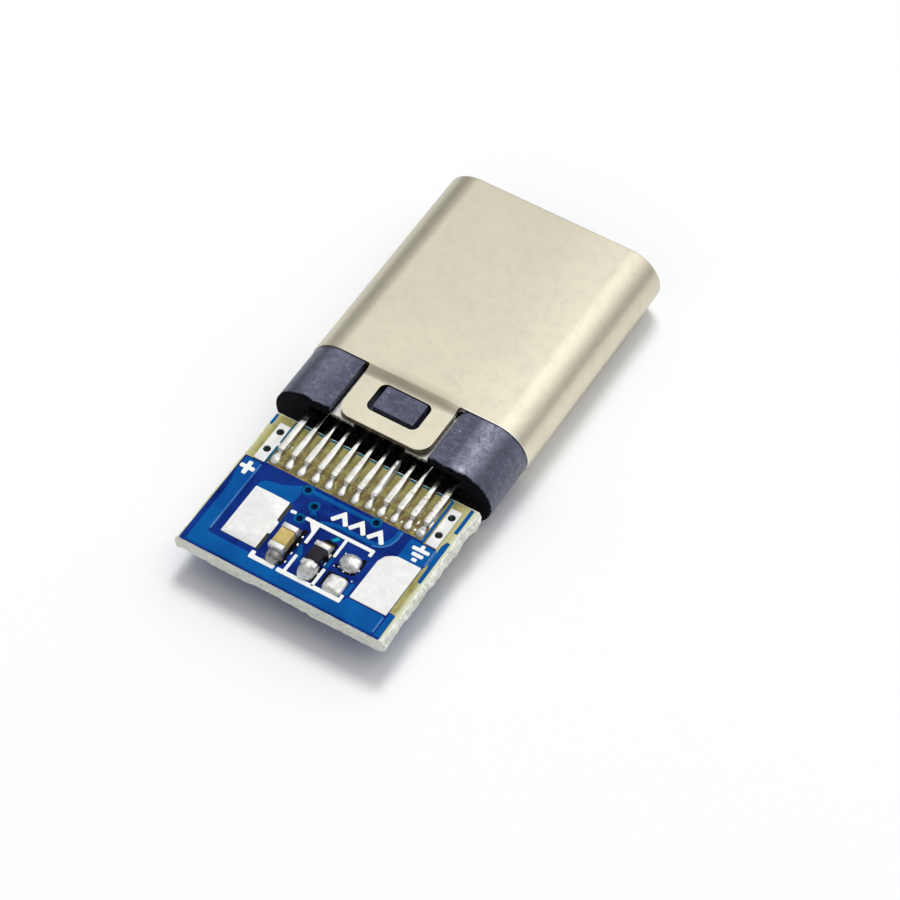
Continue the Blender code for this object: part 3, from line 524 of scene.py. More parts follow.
def housing_finish():
    """Dark blue-grey moulding, pale along its crests from rubbing and a painted highlight, with painted shade
    towards its outer sides, and painted shade that makes it nearly black at its rear face and in its pocket.
    """
    tint = (0.8, 0.85, 1, 1)
    f = Finish("moulded_housing", (0.05, 0.052, 0.085), 0.5, Specular_IOR_Level=1, Specular_Tint=tint)
    mottle = f.noise(1.7, 5.0, distortion=0.6)
    scuff = f.noise(3.4, 8.0, (1, 1.6, 1.5), 0.9, 0.72)
    streak = f.noise(4.0, 5.0, (0.5, 5.0, 1), 0.3, 0.6)
    rub_and_highlight = f.noise(4.5, 8.0, (1.2, 0.8, 1), 0.5, 0.75)
    width = f.along("X", -4.1, 4.1)
    # Crests: pale from rubbing, and partly a painted highlight.
    crest = f.ramp(width, (0.05, 0), (0.14, 0.35), (0.22, 0), (0.79, 0), (0.84, 1), (0.875, 0.9), (0.93, 0.1))
    shade = f.ramp(width, (0.045, 0), (0.075, 0.75), (0.115, 0), (0.885, 0), (0.93, 0.6), (0.965, 0))
    # A pale nick on the right crest near the rear, partly a painted highlight.
    nick_and_glint = f.times(f.ramp(f.along("X", 2.5, 3.2), (0.1, 0), (0.5, 1), (0.9, 0)),
                   f.ramp(f.along("Y", 0.02, 0.36), (0.1, 0), (0.4, 1), (0.9, 0)))
    nick_and_glint = f.times(nick_and_glint, f.spread(f.noise(6.0, 6.0, rough=0.75), 0.43, 0.5))
    # Painted shade: the rear face goes nearly black, with a ragged border.
    shift = f.spread(f.noise(5.0, 5.0), 0.3, 0.7, -0.05, 0.05)
    uneven = f.node("Math", 0, {0: f.axis("Y"), 1: shift}, operation="ADD")
    painted_rear_shade = f.spread(uneven, SHIFT + 0.035, SHIFT + 0.105, 1, 0)
    # Painted shade: the inside of the rear pocket darkened too.
    pocket_shade = f.times(
        f.ramp(f.along("X", -4.0, 4.0), (0.1285, 0), (0.13, 1), (0.87, 1), (0.8715, 0)),
        f.ramp(f.along("Z", 0, HEIGHT), (0.14, 0), (0.1445, 1), (0.8555, 1), (0.86, 0)),
    )
    pocket_shade = f.times(pocket_shade, f.along("Y", 0.62, 0.66, 1, 0))
    painted_rear_shade = f.mix(1, painted_rear_shade, pocket_shade, "LIGHTEN")
    speck = f.times(f.spread(f.noise(13.0, 3.0), 0.64, 0.7, 0, 0.7), f.spread(mottle, 0.5, 0.58))
    f.paint(
        f.mix(f.spread(mottle, 0.32, 0.7), (0.02, 0.022, 0.043), (0.05, 0.053, 0.092)),
        (f.spread(scuff, 0.5, 0.68, 0, 0.6), (0.15, 0.15, 0.26)),
        (f.spread(streak, 0.56, 0.7, 0, 0.28), (0.2, 0.21, 0.29)),
        (f.times(crest, f.spread(rub_and_highlight, 0.38, 0.64, 0.15, 1)), (0.36, 0.36, 0.46)),
        (shade, (0.012, 0.013, 0.03)),
        (speck, (0.42, 0.43, 0.52)),
        (painted_rear_shade, (0.004, 0.004, 0.006)),
        (nick_and_glint, (0.62, 0.62, 0.7)),
    )
    f.wire("Roughness", f.mix(painted_rear_shade, f.spread(scuff, 0.3, 0.7, 0.54, 0.34), (0.85, 0.85, 0.85)))
    f.wire("Specular IOR Level", f.spread(painted_rear_shade, 0, 1, 1, 0.12))
    f.bump(f.noise(22.0, 4.0), 0.003)
    f.bump(scuff, 0.005, 0.4)
    return f.material


def insulator_finish():
    f = Finish("moulded_black", (0.006, 0.006, 0.007), 0.7, Specular_IOR_Level=0.12)
    f.paint(f.mix(f.noise(3.0, 5.0), (0.004, 0.004, 0.005), (0.01, 0.01, 0.012)))
    f.gloss(f.noise(8.0, 4.0), 0.6, 0.75)
    f.bump(f.noise(5.0, 3.0), 0.001, 0.2)
    return f.material


def contact_finish():
    """Gold at the mating end, tin from the housing's rear back to the solder."""
    f = Finish("plated_contact", (0.8, 0.7, 0.5), 0.2, 1)
    tin = f.spread(f.noise(5.0, 4.0, (1, 0.5, 1)), 0.35, 0.7)
    fleck = f.spread(f.noise(7.0, 5.0, rough=0.7), 0.55, 0.61, 0, 0.9)
    f.paint(
        f.mix(tin, (0.66, 0.65, 0.6), (0.92, 0.91, 0.87)),
        (f.times(fleck, f.along("X", -2.9, 2.9, 0.15, 1)), (0.42, 0.32, 0.16)),
        (f.along("Y", 0.4, 2.2), f.mix(f.noise(4.0), (0.83, 0.6, 0.27), (0.9, 0.7, 0.36))),
    )
    f.gloss(f.noise(8.0, 4.0), 0.12, 0.26)
    f.bump(f.noise(7.0, 3.0, (1, 0.4, 1)), 0.005)
    return f.material


def solder_finish(name, light, dark, seed, dull=0, metal=1):
    """Tin that has flowed: bright, with darker patches; dull adds to its roughness."""
    f = Finish(name, light, 0.15, metal)
    patch = f.noise(2.6 + seed, 3.0, distortion=0.8)
    f.paint(f.mix(f.spread(patch, 0.46, 0.66), light, dark))
    f.gloss(f.noise(5.0 + seed, 3.0), 0.15 + dull, 0.28 + dull, 0.35)
    f.bump(f.noise(3.5, 2.0, distortion=0.5), 0.006)
    return f.material


def land_finish():
    """Foil stained by flux, close to the laminate in tone."""
    f = Finish("stained_foil", (0.2, 0.16, 0.07), 0.4, 0.4)
    f.paint(f.mix(f.noise(5.0, 5.0), (0.07, 0.055, 0.025), (0.22, 0.18, 0.085)))
    f.gloss(f.noise(9.0), 0.3, 0.5)
    f.bump(f.noise(8.0, 4.0), 0.006)
    return f.material


def pad_finish():
    f = Finish("tinned_pad_foil", (0.84, 0.84, 0.82), 0.45, 0.45)
    wrinkle = f.noise(2.4, 6.0, distortion=1.4, rough=0.6)
    f.paint(f.mix(f.spread(wrinkle, 0.35, 0.65), (0.82, 0.82, 0.795), (0.92, 0.92, 0.895)))
    f.gloss(f.noise(8.0, 5.0), 0.38, 0.55)
    f.bump(wrinkle, 0.016)
    f.bump(f.noise(24.0, 3.0), 0.002)
    return f.material


def laminate_finish():
    """Bare glass-epoxy: olive resin and the weave of its glass cloth, with flux stains and pale sides."""
    f = Finish("laminate_face", (0.22, 0.2, 0.05), 0.55, Specular_IOR_Level=0.3)
    weave = f.noise(2.4, 6.0, distortion=0.4)
    cloth = f.mix(0.35, f.noise(6.0, 2.0, (5.0, 0.5, 1)), f.noise(6.0, 2.0, (0.5, 5.0, 1)))
    low = f.ramp(f.along("Y", -2.4, -0.7), (0, 1), (0.6, 0.85), (1, 0.15))
    stain = f.times(low, f.spread(f.noise(4.2, 6.0, distortion=0.8), 0.38, 0.58, 0.15, 0.92))
    middle = f.ramp(f.along("X", -3.2, 3.2), (0, 0), (0.06, 1), (0.94, 1), (1, 0))
    f.paint(
        f.mix(f.spread(weave, 0.32, 0.68), (0.235, 0.205, 0.055), (0.385, 0.355, 0.12)),
        (f.spread(cloth, 0.52, 0.68, 0, 0.6), (0.58, 0.56, 0.28)),
        (f.times(stain, middle), (0.13, 0.085, 0.025)),
        (f.times(f.along("X", 3.2, 3.6, 0, 0.75), f.along("Y", -3.5, -2.6)), (0.56, 0.54, 0.28)),
        (f.along("X", -3.68, -3.44, 0.75, 0), (0.62, 0.62, 0.36)),
        (f.along("X", 3.7, 3.84, 0, 0.9), (0.68, 0.71, 0.53)),
    )
    f.gloss(cloth, 0.45, 0.7)
    f.bump(cloth, 0.006)
    return f.material


def edge_finish():
    """The broken edge of the board: pale torn glass and resin."""
    f = Finish("laminate_edge", (0.62, 0.64, 0.54), 0.8, Specular_IOR_Level=0.3)
    torn = f.noise(5.0, 8.0, (0.6, 0.6, 2.6), 0.7, 0.7)
    spot = f.noise(13.0, 5.0)
    pit = f.noise(6.0, 6.0, (1, 1, 1.6), 0.4, 0.7)
    f.paint(
        f.mix(f.spread(torn, 0.36, 0.62), (0.74, 0.78, 0.66), (0.95, 0.96, 0.89)),
        (f.spread(pit, 0.57, 0.66, 0, 0.55), (0.3, 0.33, 0.22)),
        (f.spread(spot, 0.56, 0.7, 0, 0.8), (0.97, 0.97, 0.93)),
    )
    f.bump(torn, 0.05, 0.8)
    f.bump(spot, 0.02, 0.8)
    return f.material


def mask_finish(name, low, high, rough=0.35):
    f = Finish(name, low, rough, Specular_IOR_Level=0.06)
    f.paint(f.mix(f.spread(f.noise(0.9, 5.0, distortion=0.5), 0.34, 0.68), low, high))
    f.gloss(f.noise(6.0, 4.0), rough - 0.08, rough + 0.14)
    f.bump(f.noise(4.0, 5.0), 0.004)
    return f.material


def ink_finish():
    f = Finish("white_ink", (0.84, 0.85, 0.83), 0.6, Specular_IOR_Level=0.3)
    f.paint((0.88, 0.9, 0.87), (f.spread(f.noise(7.0, 5.0), 0.6, 0.8, 0, 0.45), (0.6, 0.66, 0.72)))
    f.gloss(f.noise(12.0), 0.5, 0.7)
    f.bump(f.noise(14.0, 4.0), 0.005)
    return f.material


def ceramic_finish(name, low, high, rough, shine=0.35):
    f = Finish(name, low, rough, Specular_IOR_Level=shine)
    f.paint(f.mix(f.spread(f.noise(4.0, 5.0), 0.3, 0.7), low, high))
    f.gloss(f.noise(11.0), rough - 0.08, rough + 0.1)
    f.bump(f.noise(14.0, 3.0), 0.003)
    return f.material


def flux_finish():
    f = Finish("flux_resin", (0.3, 0.17, 0.05), 0.15, Transmission_Weight=0.35, IOR=1.5)
    f.paint(f.mix(f.noise(8.0), (0.16, 0.08, 0.02), (0.46, 0.27, 0.09)))
    return f.material


def floor_finish():
    f = Finish("pale_floor", (0.94, 0.943, 0.95), 0.8, Specular_IOR_Level=0.1)
    f.paint(f.mix(f.noise(0.02, 3.0), (0.938, 0.941, 0.95), (0.945, 0.947, 0.953)))
    f.bump(f.noise(1.5, 4.0), 0.003, 0.1)
    return f.material

NICKEL = nickel_finish()
STEEL = steel_finish()
SPRING = spring_finish()
HOUSING = housing_finish()
BLACK = insulator_finish()
CONTACT = contact_finish()
SOLDER = solder_finish("solder_bright", (0.95, 0.95, 0.92), (0.78, 0.78, 0.73), 0, 0.05, 0.68)
SOLDER_BLOB = solder_finish("solder_blob", (0.93, 0.93, 0.9), (0.6, 0.6, 0.56), 0.5, 0.2, 0.88)
SOLDER_ROUGH = solder_finish("solder_rough", (0.96, 0.96, 0.93), (0.66, 0.67, 0.63), 2.6, 0.16)
SOLDER_DULL = solder_finish("solder_dull", (0.52, 0.5, 0.47), (0.17, 0.16, 0.15), 1.9, 0.16)
LAND = land_finish()
PAD = pad_finish()
LAMINATE = laminate_finish()
EDGE = edge_finish()
MASK_DARK = mask_finish("mask_on_laminate", (0, 0.01, 0.125), (0.004, 0.036, 0.255))
MASK_BLUE = mask_finish("mask_on_copper", (0, 0.07, 0.29), (0, 0.105, 0.36))
MASK_TEAL = mask_finish("mask_rim", (0, 0.085, 0.16), (0, 0.15, 0.24))
MASK_RING = mask_finish("mask_ring", (0, 0.07, 0.21), (0, 0.13, 0.32))
MASK_GLINT = mask_finish("mask_glint", (0, 0.25, 0.38), (0, 0.36, 0.47))
MASK_TENT = mask_finish("mask_over_hole", (0, 0.006, 0.035), (0, 0.012, 0.07), 0.18)
MASK_EDGE_HIGHLIGHT = mask_finish("mask_edge_highlight", (0.02, 0.13, 0.4), (0.09, 0.23, 0.51))
INK = ink_finish()
CAPACITOR = ceramic_finish("capacitor_ceramic", (0.5, 0.36, 0.105), (0.62, 0.49, 0.18), 0.5)
PAINTED_SHADE_STRIP = ceramic_finish("painted_shade_strip", (0.012, 0.018, 0.012), (0.04, 0.048, 0.028), 0.5)
RESISTOR = ceramic_finish("resistor_glaze", (0.004, 0.003, 0.006), (0.013, 0.009, 0.015), 0.34, 0.26)
CHIP_END = solder_finish("chip_end_tin", (0.9, 0.89, 0.86), (0.7, 0.69, 0.65), 0.6, 0.2)
BARREL = solder_finish("plated_hole", (0.3, 0.38, 0.36), (0.12, 0.18, 0.17), 0.3, 0.2)
FLUX = flux_finish()
# Charred flux, partly painted shade beside the chips.
CHARRED_FLUX_AND_SHADE = ceramic_finish("charred_flux_and_shade", (0.0008, 0.0012, 0.004), (0.006, 0.007, 0.012), 0.5, 0.05)


# Shell and housing

def tongue_drop(y):
    share = min(max((SHELL_REAR - y) / TONGUE_BEND, 0), 1)
    return TONGUE_DROP * (0.2 * share + 0.8 * share * share * (3 - 2 * share))


def make_shell():
    left, right, rear = TONGUE
    corner = TONGUE_CORNER
    fillet = 0.1
    lip = 0.12
    inner_lip = 0.06
    beyond = 9.0
    waste = (
        [(-beyond, SHELL_REAR)] + arc(left - fillet, SHELL_REAR - fillet, fillet, 90, 0, 6)
        + arc(left + corner, rear + corner, corner, 180, 270, 14)
        + arc(right - corner, rear + corner, corner, 270, 360, 14)
        + arc(right + fillet, SHELL_REAR - fillet, fillet, 180, 90, 6)
        + [(beyond, SHELL_REAR), (beyond, rear - 1), (-beyond, rear - 1)]
    )
    window = rounded_rectangle(*WINDOW, 0.25, 8)
    bend = [SHELL_REAR + 0.01 - (TONGUE_BEND + 0.02) * i / 12 for i in range(12, -1, -1)]
    outside = [(y, 0) for y in [rear - 0.5, *bend]]
    outside += [(MOUTH - lip + y, lip - inset) for inset, y in arc(0, 0, lip, 0, 90, 8)]
    inside = [(MOUTH - inner_lip + y, WALL - inner_lip + inset) for inset, y in arc(0, 0, inner_lip, 90, 0, 5)]
    inside += [(y, WALL) for y in [*reversed(bend), rear - 0.5]]
    tube = loft("shell", [section(y, inset) for y, inset in outside + inside], hollow=True)
    tools = []
    for under in (False, True):
        tools.append((prism(waste, MID - 0.11, HEIGHT + 1, under), "DIFFERENCE"))
        tools.append((prism(window, MID, HEIGHT + 1, under), "DIFFERENCE"))
    mesh = carve(tube, tools)
    for vertex in mesh.vertices:
        side = 1 if vertex.co.z > MID * MM else -1
        vertex.co.z -= side * tongue_drop(vertex.co.y / MM - SHIFT) * MM
    mesh = rounded(mesh, 0.03, 50)
    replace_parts(add_piece("shell", mesh, NICKEL, 35), "outer_shell")


def make_housing():
    flush = 0.04
    edge = 0.05
    shoulder = SHELL_REAR - CLEARANCE
    spigot = WALL + CLEARANCE
    rings = [(edge - y, flush + edge - inset) for inset, y in arc(0, 0, edge, 90, 0, 6)]
    rings += [(shoulder, flush), (shoulder, spigot), (3.42, spigot), (3.5, WALL + 0.09)]
    body = loft("housing", [section(y, inset) for y, inset in rings])
    hollow = 2.95
    tools = [
        (block(-hollow, hollow, -1, 4.5, 0.63, 1.77), "DIFFERENCE"),
        (block(-hollow, hollow, -1, 0.6, 0.35, 2.05), "DIFFERENCE"),
    ]
    left, right = WING_SLOT
    corner = 0.26
    recess = [(left, -1), (right, -1), (right, 1.98)] + arc(right + corner, 1.98, corner, 180, 105, 6)
    recess += [(right + 0.2, 3.31), (left, 3.31)]
    x0, x1, y0, y1 = BUMP
    bump = []
    for z, inset in ((RECESS_FLOOR - 0.06, 0), (2.23, 0), (2.265, 0.012), (2.28, 0.04)):
        outline = rounded_rectangle(x0 + inset, x1 - inset, y0 + inset, y1 - inset, 0.05, 3)
        bump.append([(x, y, z) for x, y in outline])
    for under in (False, True):
        tools.append((prism(recess, RECESS_FLOOR, HEIGHT + 1, under), "DIFFERENCE"))
        tools.append((loft("bump", bump, under=under), "UNION"))
    mesh = rounded(carve(body, tools), 0.03, 45)
    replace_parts(add_piece("housing", mesh, HOUSING, 38), "rear_housing")


# Circuit board

# The torn edge: how tall its grain is, scale, seed and size
TORN = ((2.2, 1.3, 1, 0.035), (2.0, 4.0, 2, 0.03), (2.0, 10.0, 3, 0.016))
NEAR_EDGE = 0.12


def ragged(point):
    """The board's scored and broken edge: bulged at mid height, torn everywhere, most on the right."""
    x, y, z = point
    x0, x1, y0, y1 = BOARD
    bulge = 0.07 * min(1, (0.3 - abs(z - MID)) / 0.2)
    torn = sum((wobble((x, y, z * tall), scale, seed, size) for tall, scale, seed, size in TORN), Vector())
    share = 1.0 if abs(z - MID) < 0.27 else 0.75
    if x > x1 - NEAR_EDGE:
        x += 1.4 * bulge + 0.05 + 2.3 * torn.x * share + 0.08 * math.exp(-((y + 0.75) / 0.28) ** 2)
    elif x < x0 + NEAR_EDGE:
        x -= bulge + torn.x * share
    if y < y0 + NEAR_EDGE:
        y += 0.02 + (1.6 * torn.y - 0.01) * share
    elif y > y1 - NEAR_EDGE:
        y += torn.y * share * 0.4
    return (x, y, z)


def make_board():
    holes = [circle(x, y, VIA_HOLE) for x, y in VIAS]
    holes += [circle(x, y, ANCHOR_HOLE) for x, y in ANCHOR_HOLES]
    sides = [(z, 0) for z in (0.915, 1, 1.1, 1.2, 1.3, 1.4, 1.485)]
    levels = [(BOARD_BOTTOM, 0.03), *sides, (BOARD_TOP, 0.03)]
    outline = densify(rect(*BOARD), 0.05)
    mesh = sheet("board", [(outline, holes)], levels, shake=ragged, hole_index=2, top_index=1)
    board = add_piece("board", mesh, [EDGE, LAMINATE, BARREL])
    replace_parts(board, "circuit_board")


MASK_FIELD = [
    (-3.645, -2.37), (-3.0, -2.37), (-2.95, MASK_LINE), (3.02, MASK_LINE), (3.06, -2.37), (3.56, -2.37),
    (3.56, -3.15), (3.54, -3.25), (3.54, -5.15), (3.78, -5.15), (3.8, -6.19), (-3.645, -6.19),
]
POUR = [
    (-3.59, -2.42), (-3.03, -2.42), (-3.03, -5.4), (-2.93, -5.52), (2.08, -5.52), (2.14, -5.35),
    (3.5, -5.35), (3.5, -6.13), (-3.46, -6.13), (-3.46, -3.6), (-3.59, -3.0),
]
SUPPLY = [
    (-2.68, -3.34), (-2.64, -3.05), (-2.52, -2.9), (-2.25, -2.83), (-2.0, -2.79), (-1.85, -2.72), (-1.6, -2.6),
    (-1.4, -2.45), (-1.33, -2.52), (-1.33, -2.66), (-1.26, -2.78), (-1.28, -3.05), (-1.36, -3.34),
]
GROUND = [(2.62, -2.4), (3.52, -2.42), (3.52, -3.3), (2.62, -3.3)]
LINK = [
    (2.2, -2.34), (2.2, -2.7), (2.1, -2.95), (1.92, -3.13), (1.65, -3.22), (0.55, -3.22), (0.25, -3.26),
    (-0.15, -3.4),
]
TRACES = [
    rect(-1, 1.22, -2.6, -2.42), [(-0.72, -3.08), (-0.52, -3.08), (-0.3, -3.3), (-0.6, -3.3)],
    [(-0.24, -4.4), (-0.12, -4.4), (0.06, -4.7), (0.06, -4.98), (-0.02, -4.98), (-0.22, -4.62)],
    rect(0.88, 1.02, -4.78, -4.34), rect(1.94, 2.1, -5.34, -4.82),
]


def make_mask(name, field, raised, vias, bars, under):
    """Solder mask: a dark coat on the laminate, and the brighter, higher coat where copper runs."""
    holes = [circle(x, y, MASK_HOLE) for x, y in vias]
    coat(name, [(soften(field, 0.05), holes)], [(COAT, 0), (1.508, 0), (1.512, 0.012)], MASK_DARK, 35, under)
    copper = [densify(soften(loop, radius), 0.6) for loop, radius in raised]
    levels = [(RELIEF, 0), (1.52, 0.015), (1.526, 0.05)]
    coat(f"{name}_relief", copper, levels, MASK_BLUE, 50, under, step=0.0006)
    strips = [soften(bar, 0.03) for bar in bars]
    coat(f"{name}_strips", strips, [(COAT, 0), (1.516, 0.012)], MASK_BLUE, 50, under)
    rims = [(circle(x, y, 0.215), [circle(x, y, VIA_HOLE)]) for x, y in vias]
    coat(f"{name}_rings", rims, [(PRINT, 0), (1.522, 0.02), (1.53, 0.05)], MASK_RING, 50, under)


def make_tents():
    """The mask sags into each via as a small glossy bowl."""
    for side, under in SIDES:
        for i, (x, y) in enumerate(VIAS):
            x = -x if under else x
            rings = []
            for share in (1, 0.9, 0.75, 0.58, 0.4, 0.22, 0.06):
                depth = 0.075 * (1 - share * share)
                rings.append([(px, py, 1.508 - depth) for px, py in circle(x, y, MASK_HOLE * share)])
            low = [(px, py, 1.42) for px, py in circle(x, y, VIA_HOLE * 0.9)]
            mesh = loft(f"mask_tent_{side}_{i + 1}", [low, *rings], under=under)
            add_piece(f"mask_tent_{side}_{i + 1}", mesh, MASK_TENT, 60)


def make_masks():
    bars = [
        rect(3.66, 3.79, -1.52, -0.45), rect(-3.7, -3.6, -0.92, -0.47), rect(3.57, 3.79, -6.12, -5.17),
        rect(2.95, 3.05, -2.33, -0.47),
        [(3.67, -1.93), (3.8, -1.93), (3.8, -3.72), (3.67, -3.72), (3.66, -3.1), (3.6, -2.95), (3.6, -2.15)],
    ]
    raised = [(POUR, 0.06), (SUPPLY, 0.1), (GROUND, 0.05), (stroke(LINK, 0.17), 0.03)]
    raised += [(trace, 0.05) for trace in TRACES]
    make_mask("mask_top", MASK_FIELD, raised, VIAS, bars, False)
    lines = [rect(-2.96, 2.98, -0.51, -0.43), rect(-2.985, -2.905, -2.34, -0.47)]
    coat("mask_lines", lines, [(COAT, 0), (1.512, 0.01)], MASK_TEAL, step=0.0006)
    # Painted highlights: light lines along the edges of the raised copper.
    rims = [
        [(-2.995, -2.46), (-2.995, -5.4)], [(3.5, -5.4), (3.5, -6.06)], [(3.555, -2.42), (3.555, -3.12)],
        [(2.29, -2.34), (2.29, -2.72), (2.2, -2.99), (2.02, -3.19), (1.72, -3.3)],
    ]
    levels = [(RELIEF, 0), (1.529, 0.008), (1.533, 0.02)]
    coat("mask_highlight_lines", [stroke(rim_highlight, 0.08) for rim_highlight in rims], levels, MASK_EDGE_HIGHLIGHT)
    # Painted reflection: a cyan glint on the mask.
    spot = [(0.5, -3.8), (0.58, -3.66), (0.66, -3.57), (0.76, -3.6), (0.73, -3.72), (0.62, -3.8)]
    coat("mask_glint", [soften(spot, 0.05)], [(RELIEF, 0), (1.518, 0.01)], MASK_GLINT)
    under_vias = [(-x, y) for x, y in VIAS]
    pour = [
        (-3.74, -2.4), (-1.75, -2.4), (-1.75, -3.9), (1.65, -3.9), (1.65, -2.4), (3.6, -2.4), (3.6, -6.03),
        (-3.74, -6.03),
    ]
    raised = [(pour, 0.08)] + [(rect(x - 0.09, x + 0.09, y - 0.08, -2.34), 0.04) for x, y in under_vias]
    bars = [rect(-3.82, -3.64, -1.9, -0.5), rect(3.5, 3.68, -1.9, -0.5)]
    make_mask("mask_bottom", rect(-3.8, 3.66, -6.12, MASK_LINE), raised, under_vias, bars, True)


def make_wire_pads():
    """The two large pads, and painted shade on the bare laminate beside the left one."""
    supply = [
        (-2.66, -5.3), (-1.34, -5.3), (-1.34, -4.62), (-1.24, -4.6), (-1.24, -4.08), (-1.35, -4.04),
        (-1.36, -3.25), (-2.05, -3.235), (-2.66, -3.25),
    ]
    ground = [
        (2.18, -5.32), (3.53, -5.32), (3.53, -3.22), (2.66, -3.22), (2.48, -3.3), (2.3, -3.44), (2.2, -3.7),
    ]
    levels = [(RELIEF, 0), (1.538, 0.004), (1.545, 0.02)]
    for node, loop in (("wire_pad_positive", supply), ("wire_pad_ground", ground)):
        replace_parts(coat(f"{node}_foil", [soften(loop, 0.04)], levels, PAD, 50), node)
    # Painted shade: dark strips on the laminate beside the left pad.
    shaded_strips = [rect(-1.36, -1.235, -4.05, -3.3), rect(-1.35, -1.235, -5.28, -4.63)]
    coat("laminate_shade_strip", [soften(b, 0.02) for b in shaded_strips], [(RELIEF, 0), (1.514, 0)], PAINTED_SHADE_STRIP)


PRINT_LINES = [  # ends and width
    (-1.18, -3.51, -0.97, -3.485, 0.12), (-0.62, -3.49, 1.95, -3.48, 0.135), (1.89, -3.48, 1.895, -3.7, 0.12),
    (-0.11, -3.5, -0.1, -4.32, 0.12), (0.95, -3.5, 0.955, -4.3, 0.1), (-1.375, -5.62, -0.43, -5.615, 0.165),
    (-0.34, -5.615, 2.035, -5.6, 0.165), (-1.295, -5.62, -1.3, -5.4, 0.16), (1.975, -5.6, 1.98, -5.36, 0.11),
    (-0.09, -5.6, -0.085, -4.83, 0.11), (0.95, -5.6, 0.955, -4.83, 0.11), (-3.57, -2.8, -3.04, -2.79, 0.16),
    (-3.31, -2.53, -3.3, -3.08, 0.16), (2.84, -2.66, 3.46, -2.65, 0.14), (2.95, -2.87, 3.36, -2.87, 0.14),
    (3.06, -3.07, 3.24, -3.07, 0.13), (3.15, -2.44, 3.15, -2.66, 0.14),
]


def make_print():
    """White ink: the outlines round the chips, marks at both wire pads and arrows to the mouth."""
    shapes = [stroke([(x0, y0), (x1, y1)], width) for x0, y0, x1, y1, width in PRINT_LINES]
    shapes += [stroke([(x - 0.27, -3.12), (x, -2.74), (x + 0.27, -3.12)], 0.16) for x in (0.36, 1.02, 1.7)]
    shapes.append([(-0.46, -3.5), (-0.1, -3.5), (-0.1, -3.86), (-0.17, -3.86)])
    coat("print_top", shapes, [(PRINT, 0), (1.534, 0), (1.54, 0.012)], INK, step=0.0015)


# Solder

PROFILE = ((-1, 0), (-0.97, 0.28), (-0.9, 0.55), (-0.74, 0.82), (-0.42, 0.96), (0, 1),
           (0.42, 0.96), (0.74, 0.82), (0.9, 0.55), (0.97, 0.28), (1, 0))


def contact_x(i):
    return (i - (CONTACTS - 1) / 2) * PITCH


def smooth_between(stations, step):
    """Fills in stations of place and sizes, evenly eased."""
    filled = []
    for a, b in zip(stations, stations[1:]):
        count = max(1, round(abs(a[0] - b[0]) / step))
        for i in range(count):
            t = i / count
            ease = t * t * (3 - 2 * t)
            filled.append((a[0] + (b[0] - a[0]) * t, *(p + (q - p) * ease for p, q in zip(a[1:], b[1:]))))
    return filled + [stations[-1]]


def bead(name, x, stations, seed, under, finish, lean=0):
    """Solder along a contact. Stations are place, half width and height over the land."""
    rings = []
    low = 1.497
    for y, half, height in smooth_between(stations, 0.03):
        ring = []
        drift = lean * min(1, max(0, (-1.68 - y) / 0.4))
        for across, up in PROFILE:
            point = (x + drift + across * half, y, low + up * (height + 0.003))
            coarse = wobble(point, 6.0, seed, 0.014 * up)
            fine = wobble(point, 14.0, seed + 5, 0.004 * up)
            ring.append(tuple(Vector(point) + coarse + fine))
        rings.append(ring)
    add_piece(name, loft(name, rings, under=under), finish, 75)


def solder_row(side, under):
    """The solder of one row: a fillet beside each tail, a neck at its end and a drop ahead of it."""
    dice = random.Random(11 if under else 4)
    last = CONTACTS - 1
    for i in range(CONTACTS):
        wide = dice.uniform(0.94, 1.06)
        drop = 1.22 if i in (0, last) else dice.uniform(0.9, 1.08)
        end = dice.uniform(-2.25, -2.19)
        neck = -1.77 + dice.uniform(-0.01, 0.02)
        full = 0.1 if i != CRESTED else 0.165
        stations = [
            (-0.5, 0.07, 0.02), (-0.7, 0.095, 0.05), (-1, 0.125 * wide, full * 0.9),
            (-1.35, 0.148 * wide, full), (-1.6, 0.138 * wide, full + 0.02), (-1.72, 0.098, 0.13),
            (neck, 0.058, 0.03), (-1.87, 0.092 * drop, 0.06), (-2.0, 0.13 * drop, 0.078 * drop),
            (-2.11, 0.128 * drop, 0.07 * drop), (end + 0.04, 0.09 * drop, 0.045), (end, 0.02, 0.005),
        ]
        finish = SOLDER if i != last else SOLDER_BLOB
        lean = dice.uniform(0.03, 0.08) if i != last else 0.03
        seed = i + (40 if under else 1)
        bead(f"solder_{side}_{i + 1:02d}", contact_x(i), stations, seed, under, finish, lean)
    if not under:
        crest = [(-0.12, 0.03, 0.19), (-0.16, 0.085, 0.225), (-0.4, 0.1, 0.235), (-0.75, 0.112, 0.228),
                 (-1.1, 0.13, 0.205), (-1.4, 0.13, 0.17), (-1.62, 0.11, 0.14)]
        bead("solder_top_crest", contact_x(CRESTED), crest, 77, under, SOLDER)


